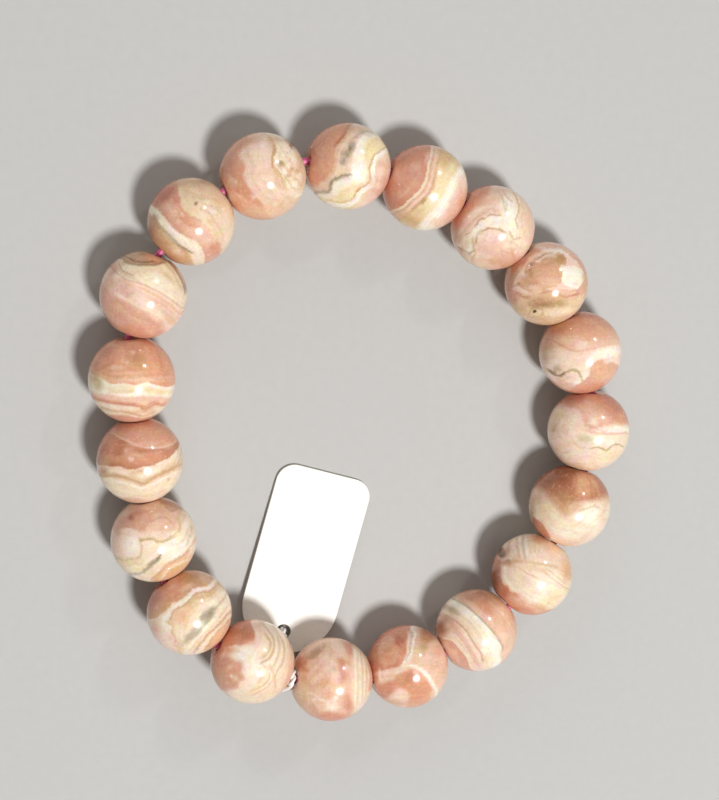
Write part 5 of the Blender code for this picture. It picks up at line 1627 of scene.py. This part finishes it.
def rhodochrosite(number, ground, marks):
    """Banded rhodochrosite: a soft pink carbonate laid down in thin wavy layers, cut and tumbled glossy.

    To the eye it is opaque to faintly cloudy, with crisp edges between rose, peach and cream layers, thin
    brown and grey-green lines where other minerals settled, fine parallel growth lines in every layer, a
    sugary grain, and sharp small highlights.
    """
    material, tree = new_material("polished_rhodochrosite_%02d" % number)
    in_mm = places_in_mm(tree, (11.0 * number, 5.0 * number, 3.0 * number))
    noises = {}
    for name, (scale, detail, roughness) in STONE_NOISES.items():
        noises[name] = add_node(tree, "ShaderNodeTexNoise", inputs={
            "Vector": in_mm, "Scale": scale, "Detail": detail, "Roughness": roughness}).outputs

    # Wander of the layers with the waves and the ragged crystals, to either side in equal measure
    ragged = RAGGEDNESS.get(number, 1.0)
    level = (WAVE_HEIGHT + CRYSTAL_HEIGHT) * NOISE_MIDDLE
    wave_shift = add_node(tree, "ShaderNodeMath", {"operation": "MULTIPLY_ADD"},
                          {0: noises["waves"]["Fac"], 1: WAVE_HEIGHT * ragged,
                           2: -level * ragged}).outputs[0]
    shift = add_node(tree, "ShaderNodeMath", {"operation": "MULTIPLY_ADD"},
                     {0: noises["crystals"]["Fac"], 1: CRYSTAL_HEIGHT * ragged, 2: wave_shift}).outputs[0]

    colour = add_node(tree, "ShaderNodeRGB").outputs[0]
    colour.default_value = linear_colour(STONE[ground])
    for index, mark in enumerate(marks):
        into = add_node(tree, "ShaderNodeAttribute", {"attribute_name": "mark_%02d" % index}).outputs["Fac"]
        depth = add_node(tree, "ShaderNodeMath", {"operation": "ADD"}, {0: into, 1: shift}).outputs[0]
        strength = mark.get("strength", 1.0)
        if mark["form"] == "vein":
            depth = add_node(tree, "ShaderNodeMath", {"operation": "ABSOLUTE"}, {0: depth}).outputs[0]
            depth = add_node(tree, "ShaderNodeMath", {"operation": "SUBTRACT"},
                             {0: mark["width"] / 2, 1: depth}).outputs[0]
            past = add_node(tree, "ShaderNodeAttribute", {"attribute_name": "past_%02d" % index})
            taper = add_node(tree, "ShaderNodeMapRange", {"interpolation_type": "SMOOTHSTEP"},
                             {"Value": past.outputs["Fac"], "From Min": 0.0, "From Max": VEIN_TAPER,
                              "To Min": strength, "To Max": 0.0}).outputs[0]
        share = add_node(tree, "ShaderNodeMapRange", {"interpolation_type": "SMOOTHSTEP"},
                         {"Value": depth, "From Min": -mark["soft"], "From Max": mark["soft"],
                          "To Min": 0.0, "To Max": strength}).outputs[0]
        if mark["form"] == "vein":
            share = add_node(tree, "ShaderNodeMath", {"operation": "MULTIPLY"},
                             {0: share, 1: taper}).outputs[0]
        colour = add_node(tree, "ShaderNodeMix", {"data_type": "RGBA"},
                          {"Factor": share, 6: colour, 7: linear_colour(STONE[mark["colour"]])}).outputs[2]

    # Growth lines, 0.2 to 0.5 mm apart, that follow the layers: the darker ones are browner
    layers = add_node(tree, "ShaderNodeAttribute", {"attribute_name": "layers"}).outputs["Fac"]
    bent = add_node(tree, "ShaderNodeMath", {"operation": "MULTIPLY_ADD"},
                    {0: shift, 1: 1.6, 2: layers}).outputs[0]
    growth = add_node(tree, "ShaderNodeTexNoise", {"noise_dimensions": "1D"},
                      {"W": bent, "Scale": 2.6, "Detail": 3.0, "Roughness": 0.65})
    colour = drifting(tree, colour, growth.outputs["Fac"], (0.05, 0.08, 0.11))

    # Cloudy depth, blotches, the sugary grain, and flecks of calcite that gather in drifts
    colour = drifting(tree, colour, noises["clouds"]["Fac"], (0.05, 0.07, 0.08))
    colour = drifting(tree, colour, noises["blotches"]["Color"], (0.045, 0.075, 0.10))
    colour = drifting(tree, colour, noises["grain"]["Fac"], (0.05, 0.06, 0.07))
    colour = drifting(tree, colour, noises["flecks"]["Fac"], (0.06, 0.07, 0.08))
    crowding = add_node(tree, "ShaderNodeMapRange", inputs={
        "Value": noises["blotches"]["Fac"], "From Min": 0.42, "From Max": 0.62,
        "To Min": 0.0, "To Max": 0.22}).outputs[0]
    fleck_share = add_node(tree, "ShaderNodeMapRange", {"interpolation_type": "SMOOTHSTEP"},
                           {"Value": noises["flecks"]["Fac"], "From Min": 0.5, "From Max": 0.68,
                            "To Min": 0.0, "To Max": crowding}).outputs[0]
    colour = add_node(tree, "ShaderNodeMix", {"data_type": "RGBA"},
                      {"Factor": fleck_share, 6: colour, 7: linear_colour(STONE["shell"])}).outputs[2]

    # A polished face, a little duller on the softer pale layers, with the faintest ripple of tumbling
    gloss = add_node(tree, "ShaderNodeMapRange", inputs={
        "Value": noises["clouds"]["Fac"], "From Min": NOISE_LOW, "From Max": NOISE_HIGH,
        "To Min": 0.12, "To Max": 0.19}).outputs[0]
    ripple = add_node(tree, "ShaderNodeBump", inputs={
        "Height": noises["crystals"]["Fac"], "Strength": 0.1, "Distance": 0.002 * MM}).outputs[0]
    stone = add_node(tree, "ShaderNodeBsdfPrincipled", inputs={
        "Base Color": colour, "Roughness": gloss, "Normal": ripple, "IOR": 1.65,
        "Subsurface Weight": 0.1, "Subsurface Radius": (1.0, 0.6, 0.45), "Subsurface Scale": 0.35 * MM})
    finish_material(tree, stone)
    return material


def store_field(mesh, name, values):
    """Keeps a number for each point on the mesh, for its material to read."""
    attribute = mesh.attributes.new(name, "FLOAT", "POINT")
    attribute.data.foreach_set("value", values.astype(np.float32))


def add_ball(number, pattern_points, faces, middles, axes, joints, headings):
    """One ball in its place, pressed against its neighbours, with its marks laid on."""
    middle, axis = middles[number - 1], axes[number - 1]
    turn = np.array(axis.to_track_quat("Z", "Y").to_matrix())
    points = pattern_points @ turn.T + np.array(middle)
    points = pressed_back(points, joints[number - 1], headings[number - 1])
    points = pressed_back(points, joints[number - 2], -headings[number - 2])
    mesh = bpy.data.meshes.new("banded_ball_%02d" % number)
    mesh.from_pydata((points - np.array(middle)).tolist(), [], faces)
    mesh.shade_smooth()
    ground, marks = BALLS[number]
    places = layer_places(points, middle, number)
    for index, mark in enumerate(marks):
        into, past = mark_field(places, mark)
        store_field(mesh, "mark_%02d" % index, into)
        if mark["form"] == "vein":
            store_field(mesh, "past_%02d" % index, past)
    store_field(mesh, "layers", layer_field(places, marks))
    ball = new_object("banded_ball_%02d" % number, mesh, rhodochrosite(number, ground, marks))
    ball.location = middle
    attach(ball, "root")
    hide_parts("bead_%02d" % number)


def add_balls(middles, axes, joints, headings):
    """All the balls, from one turned shape."""
    noise.seed_set(DRIFT_SEED)
    points, faces = turned_ball()
    for number in range(1, BALL_COUNT + 1):
        add_ball(number, points, faces, middles, axes, joints, headings)


def distances_along(path):
    """How far along a closed path each point lies, with the whole length last."""
    lengths = np.linalg.norm(np.roll(path, -1, axis=0) - path, axis=1)
    return np.concatenate(([0], np.cumsum(lengths)))


def path_frames(path):
    """At each point of a closed path: its direction, and a side that turns as little as it can."""
    ahead = np.roll(path, -1, axis=0) - np.roll(path, 1, axis=0)
    ahead /= np.linalg.norm(ahead, axis=1)[:, None]
    side = np.cross(ahead[0], (0.0, 0.0, 1.0))
    if np.linalg.norm(side) < NEARLY_UPRIGHT:
        side = np.cross(ahead[0], (0.0, 1.0, 0.0))
    sides = []
    for direction in ahead:
        side = side - direction * (side @ direction)
        side = side / np.linalg.norm(side)
        sides.append(side)
    return ahead, np.array(sides)


def tube(path, radius, sides):
    """Points, faces and (along, around) places in millimetres of a round tube on a closed path."""
    ahead, across = path_frames(path)
    up = np.cross(ahead, across)
    along = distances_along(path) / MM
    points, faces, places = [], [], []
    for index in range(len(path)):
        for side in range(sides):
            angle = math.tau * side / sides
            out = math.cos(angle) * across[index] + math.sin(angle) * up[index]
            points.append(path[index] + radius * out)
    for index in range(len(path)):
        here, there = index * sides, (index + 1) % len(path) * sides
        for side in range(sides):
            other = (side + 1) % sides
            faces.append((here + side, here + other, there + other, there + side))
            near, far = [math.tau * radius / MM * corner / sides for corner in (side, side + 1)]
            places += [(along[index], near), (along[index], far),
                       (along[index + 1], far), (along[index + 1], near)]
    return points, faces, places


def mesh_of_tubes(name, tubes):
    """One mesh of several tubes, with their (along, around) places as its UV map."""
    points, faces, places = [], [], []
    for tube_points, tube_faces, tube_places in tubes:
        first = len(points)
        points += [tuple(point) for point in tube_points]
        faces += [tuple(first + corner for corner in face) for face in tube_faces]
        places += tube_places
    mesh = bpy.data.meshes.new(name)
    mesh.from_pydata(points, [], faces)
    mesh.uv_layers.new(name="run").data.foreach_set("uv", np.array(places, np.float32).ravel())
    mesh.shade_smooth()
    return mesh


def drawn_fibres(tree, fineness, turn=0.0):
    """Fibres drawn out along a cord: how many cross a millimetre along it and around it, and their slant."""
    run = add_node(tree, "ShaderNodeUVMap", {"uv_map": "run"}).outputs[0]
    drawn = add_node(tree, "ShaderNodeMapping", inputs={
        "Vector": run, "Rotation": (0.0, 0.0, math.radians(turn)), "Scale": (*fineness, 1.0)}).outputs[0]
    return add_node(tree, "ShaderNodeTexNoise", inputs={
        "Vector": drawn, "Scale": 1.0, "Detail": 2.0}).outputs["Fac"]


def stretch_floss():
    """Elastic stretch floss: hundreds of hair-thin rubber fibres drawn together and dyed pink.

    It reads as a bright, slightly glossy pink cord with fine lengthwise lines.
    """
    material, tree = new_material("pink_stretch_floss")
    fibres = drawn_fibres(tree, (0.35, 9.0))
    colour = two_tones(tree, fibres, "#C23A70", "#F58BB8")
    roughness = add_node(tree, "ShaderNodeMapRange", inputs={
        "Value": fibres, "From Min": NOISE_LOW, "From Max": NOISE_HIGH,
        "To Min": 0.5, "To Max": 0.32}).outputs[0]
    ridges = add_node(tree, "ShaderNodeBump", inputs={
        "Height": fibres, "Strength": 0.6, "Distance": 0.03 * MM}).outputs[0]
    floss = add_node(tree, "ShaderNodeBsdfPrincipled", inputs={
        "Base Color": colour, "Roughness": roughness, "Normal": ridges, "IOR": 1.5})
    finish_material(tree, floss)
    return material


def add_elastic_cord(middles, axes, joints):
    """The closed cord: straight through every ball, bending in the gaps between them."""
    stops = []
    for index in range(BALL_COUNT):
        for reach in (-CORD_STRAIGHT, 0.0, CORD_STRAIGHT):
            stops.append(middles[index] + axes[index] * reach * MM)
        stops.append(joints[index])
    path = smooth_line([tuple(stop) for stop in stops], closed=True, steps=5)
    mesh = mesh_of_tubes("elastic_floss", [tube(path, CORD_RADIUS, CORD_SIDES)])
    cord = new_object("elastic_floss", mesh, stretch_floss())
    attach(cord, "root")
    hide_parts("elastic_cord")


def tag_thread():
    """Two-ply cotton thread, bleached white and soft: matt, with fine fibres that run round each strand."""
    material, tree = new_material("white_cotton_thread")
    fibres = drawn_fibres(tree, (1.2, 14.0), 24)
    colour = two_tones(tree, fibres, "#EDEBE7", "#FEFDFB")
    roughness = add_node(tree, "ShaderNodeMapRange", inputs={
        "Value": fibres, "From Min": NOISE_LOW, "From Max": NOISE_HIGH,
        "To Min": 0.9, "To Max": 0.72}).outputs[0]
    fluff = add_node(tree, "ShaderNodeBump", inputs={
        "Height": fibres, "Strength": 0.7, "Distance": 0.03 * MM}).outputs[0]
    cotton = add_node(tree, "ShaderNodeBsdfPrincipled", inputs={
        "Base Color": colour, "Roughness": roughness, "Normal": fluff, "IOR": 1.53,
        "Sheen Weight": 0.25, "Sheen Roughness": 0.5})
    finish_material(tree, cotton)
    return material


def thread_path(middles, joints):
    """The thread's closed route in the ring's own place, as evenly close points."""
    joint = joints[THREAD_JOINT - 1]
    towards = (middles[THREAD_JOINT - 1] - middles[THREAD_JOINT]).to_2d().normalized()
    stops = []
    for out, along, up in THREAD_ROUTE:
        x = joint.x + (out * towards.y + along * towards.x) * MM
        y = joint.y + (along * towards.y - out * towards.x) * MM
        stops.append((x, y, up * MM))
    return smooth_line(stops, closed=True, steps=14)


def twisted_strands(path):
    """Two strands laid round each other along a closed path."""
    ahead, across = path_frames(path)
    up = np.cross(ahead, across)
    along = distances_along(path)
    slip = math.atan2(across[-1] @ up[0], across[-1] @ across[0])
    turns = round(along[-1] / STRAND_LAY)
    angles = (math.tau * turns - slip) * along[:-1] / along[-1]
    strands = []
    for start in (0.0, math.pi):
        swing = np.cos(angles + start)[:, None] * across + np.sin(angles + start)[:, None] * up
        strands.append(path + swing * STRAND_SWING)
    return strands


def add_tag_loop(middles, joints):
    """The thread that holds the tag, as one piece of two strands."""
    strands = twisted_strands(thread_path(middles, joints))
    mesh = mesh_of_tubes("tag_thread", [tube(strand, STRAND_RADIUS, STRAND_SIDES) for strand in strands])
    thread = new_object("tag_thread", mesh, tag_thread())
    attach(thread, "root")
    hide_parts("tag_loop")


def coated_card():
    """White coated card, die-cut: a smooth satin face over pressed fibres, a touch greyer at the cut."""
    material, tree = new_material("white_coated_card")
    in_mm = places_in_mm(tree)
    pulp = add_node(tree, "ShaderNodeTexNoise", inputs={"Vector": in_mm, "Scale": 2.2, "Detail": 4.0,
                                                       "Roughness": 0.6})
    fibres = add_node(tree, "ShaderNodeTexNoise", inputs={"Vector": in_mm, "Scale": 9.0, "Detail": 2.0,
                                                         "Distortion": 1.5})
    handled = add_node(tree, "ShaderNodeTexNoise", inputs={"Vector": in_mm, "Scale": 0.16, "Detail": 2.0})
    face = two_tones(tree, pulp.outputs["Fac"], "#E9E8E3", "#F2F1ED")
    wear = add_node(tree, "ShaderNodeMapRange", inputs={
        "Value": handled.outputs["Fac"], "From Min": 0.35, "From Max": 0.75,
        "To Min": 0.0, "To Max": 0.35}).outputs[0]
    face = add_node(tree, "ShaderNodeMix", {"data_type": "RGBA"},
                    {"Factor": wear, 6: face, 7: linear_colour("#DDD9CC")}).outputs[2]
    facing = add_node(tree, "ShaderNodeSeparateXYZ", inputs={
        0: add_node(tree, "ShaderNodeTexCoord").outputs["Normal"]}).outputs[2]
    upright = add_node(tree, "ShaderNodeMath", {"operation": "ABSOLUTE"}, {0: facing}).outputs[0]
    cut = add_node(tree, "ShaderNodeMapRange", inputs={
        "Value": upright, "From Min": 0.3, "From Max": 0.8, "To Min": 1.0, "To Max": 0.0}).outputs[0]
    colour = add_node(tree, "ShaderNodeMix", {"data_type": "RGBA"},
                      {"Factor": cut, 6: face, 7: linear_colour("#D5CFBE")}).outputs[2]
    roughness = add_node(tree, "ShaderNodeMapRange", inputs={
        "Value": pulp.outputs["Fac"], "From Min": NOISE_LOW, "From Max": NOISE_HIGH,
        "To Min": 0.42, "To Max": 0.52}).outputs[0]
    tooth = add_node(tree, "ShaderNodeBump", inputs={
        "Height": fibres.outputs["Fac"], "Strength": 0.3, "Distance": 0.01 * MM}).outputs[0]
    card = add_node(tree, "ShaderNodeBsdfPrincipled", inputs={
        "Base Color": colour, "Roughness": roughness, "Normal": tooth, "IOR": 1.5})
    finish_material(tree, card)
    return material


def arc(middle, radius, start, end, steps):
    """Points on an arc about (x, y), with angles in degrees."""
    points = []
    for step in range(steps + 1):
        angle = math.radians(start + (end - start) * step / steps)
        points.append((middle[0] + radius * math.cos(angle), middle[1] + radius * math.sin(angle)))
    return points


def tag_outlines():
    """The card's outer edge and its hole, from its top edge at y = 0 down to its round end."""
    side = TAG_WIDTH / 2
    corner = TAG_TOP_CORNER
    outer = arc((side - corner, -corner), corner, 0, 90, CORNER_STEPS)
    outer += arc((corner - side, -corner), corner, 90, 180, CORNER_STEPS)
    outer += arc((0.0, side - TAG_LENGTH), side, 180, 360, ROUND_END_STEPS)
    hole = arc((0.0, TAG_HOLE_FROM_END - TAG_LENGTH), TAG_HOLE_RADIUS, 0, 360, TAG_HOLE_STEPS)[:-1]
    return outer, hole


def add_price_tag():
    """The bare card, lying from its top edge up onto the thread under its hole."""
    outline = bpy.data.curves.new("card_outline", "CURVE")
    outline.dimensions = "2D"
    outline.fill_mode = "BOTH"
    outline.extrude = TAG_THICKNESS / 2 - TAG_EDGE
    outline.bevel_depth = TAG_EDGE
    outline.bevel_resolution = 2
    outline.offset = -TAG_EDGE
    for points in tag_outlines():
        spline = outline.splines.new("POLY")
        spline.points.add(len(points) - 1)
        for point, (x, y) in zip(spline.points, points):
            point.co = (x, y, 0.0, 1.0)
        spline.use_cyclic_u = True
    shape = in_scene("card_outline", outline)
    ready = shape.evaluated_get(bpy.context.evaluated_depsgraph_get())
    mesh = bpy.data.meshes.new_from_object(ready)
    bpy.data.objects.remove(shape)
    mesh.name = "blank_tag"
    tag = new_object("blank_tag", mesh, coated_card())
    tilt = math.asin(TAG_HOLE_HEIGHT / (TAG_LENGTH - TAG_HOLE_FROM_END))
    tag.location = TAG_TOP + Vector((0.0, 0.0, TAG_THICKNESS / 2))
    tag.rotation_euler = (-tilt, 0.0, math.radians(TAG_TURN))
    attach(tag, "root")
    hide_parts("price_tag")


def painted_table():
    """Plain pale board, painted matt light grey, with the faint orange peel that a roller leaves."""
    material, tree = new_material("pale_painted_board")
    in_mm = places_in_mm(tree)
    peel = add_node(tree, "ShaderNodeTexNoise", inputs={"Vector": in_mm, "Scale": 0.9, "Detail": 2.0})
    shade = add_node(tree, "ShaderNodeMix", {"data_type": "RGBA"},
                     {"Factor": peel.outputs["Fac"], 6: linear_colour("#B8B8B6"),
                      7: linear_colour("#BEBDBB")}).outputs[2]
    relief = add_node(tree, "ShaderNodeBump", inputs={
        "Height": peel.outputs["Fac"], "Strength": 0.2, "Distance": 0.02 * MM}).outputs[0]
    paint = add_node(tree, "ShaderNodeBsdfPrincipled", inputs={
        "Base Color": shade, "Roughness": 0.8, "Normal": relief})
    finish_material(tree, paint)
    return material


def add_table():
    """The flat board that the bracelet lies on."""
    half = TABLE_SIZE / 2
    mesh = bpy.data.meshes.new("table")
    corners = [(-half, -half, 0), (half, -half, 0), (half, half, 0), (-half, half, 0)]
    mesh.from_pydata(corners, [], [(0, 1, 2, 3)])
    table = new_object("table", mesh, painted_table())
    table.location = (0.0, 0.0, TABLE_HEIGHT)


def add_lamp(name, direction, width, power, mirrored):
    """A round soft lamp that shines at the ring's middle."""
    lamp = bpy.data.lights.new(name, "AREA")
    lamp.shape = "DISK"
    lamp.size = width
    lamp.energy = power
    lamp.color = LAMP_COLOUR
    holder = in_scene(name, lamp)
    direction = Vector(direction).normalized()
    holder.location = direction * LAMP_DISTANCE
    holder.visible_glossy = mirrored
    holder.rotation_mode = "QUATERNION"
    holder.rotation_quaternion = direction.to_track_quat("Z", "Y")


def add_lights():
    """One lamp near the camera, a small one and a broad low panel behind, and an even glow from all round."""
    for name, settings in LAMPS.items():
        add_lamp(name, *settings)
    world = bpy.data.worlds.new("studio")
    world.use_nodes = True
    glow = world.node_tree.nodes["Background"].inputs
    glow["Color"].default_value = GLOW_COLOUR
    glow["Strength"].default_value = GLOW_STRENGTH
    bpy.context.scene.world = world
    bpy.context.scene.view_settings.view_transform = "Standard"


def add_camera():
    """The photo's viewpoint: nearly overhead, from the upper left."""
    camera = bpy.data.cameras.new("camera")
    camera.sensor_width = SENSOR_WIDTH
    camera.lens = FOCAL_LENGTH_IN_PIXELS / IMAGE_LONG_SIDE * SENSOR_WIDTH
    camera.clip_start = NEAREST_SHOWN
    camera.clip_end = FURTHEST_SHOWN
    holder = in_scene("camera", camera)
    towards = (CAMERA_PLACE - CAMERA_TARGET).normalized()
    level = Vector((-math.sin(CAMERA_ROLL), math.cos(CAMERA_ROLL), 0.0))
    right = level.cross(towards).normalized()
    up = towards.cross(right)
    turn = Matrix((right, up, towards)).transposed()
    holder.matrix_world = Matrix.Translation(CAMERA_PLACE) @ turn.to_4x4()
    bpy.context.scene.camera = holder


def main():
    """The whole bracelet on its table, with the camera and the lights."""
    middles, axes = ring_of_balls()
    joints, headings = joints_between(middles, axes)
    add_camera()
    add_lights()
    add_table()
    add_elastic_cord(middles, axes, joints)
    add_tag_loop(middles, joints)
    add_price_tag()
    add_balls(middles, axes, joints, headings)


main()
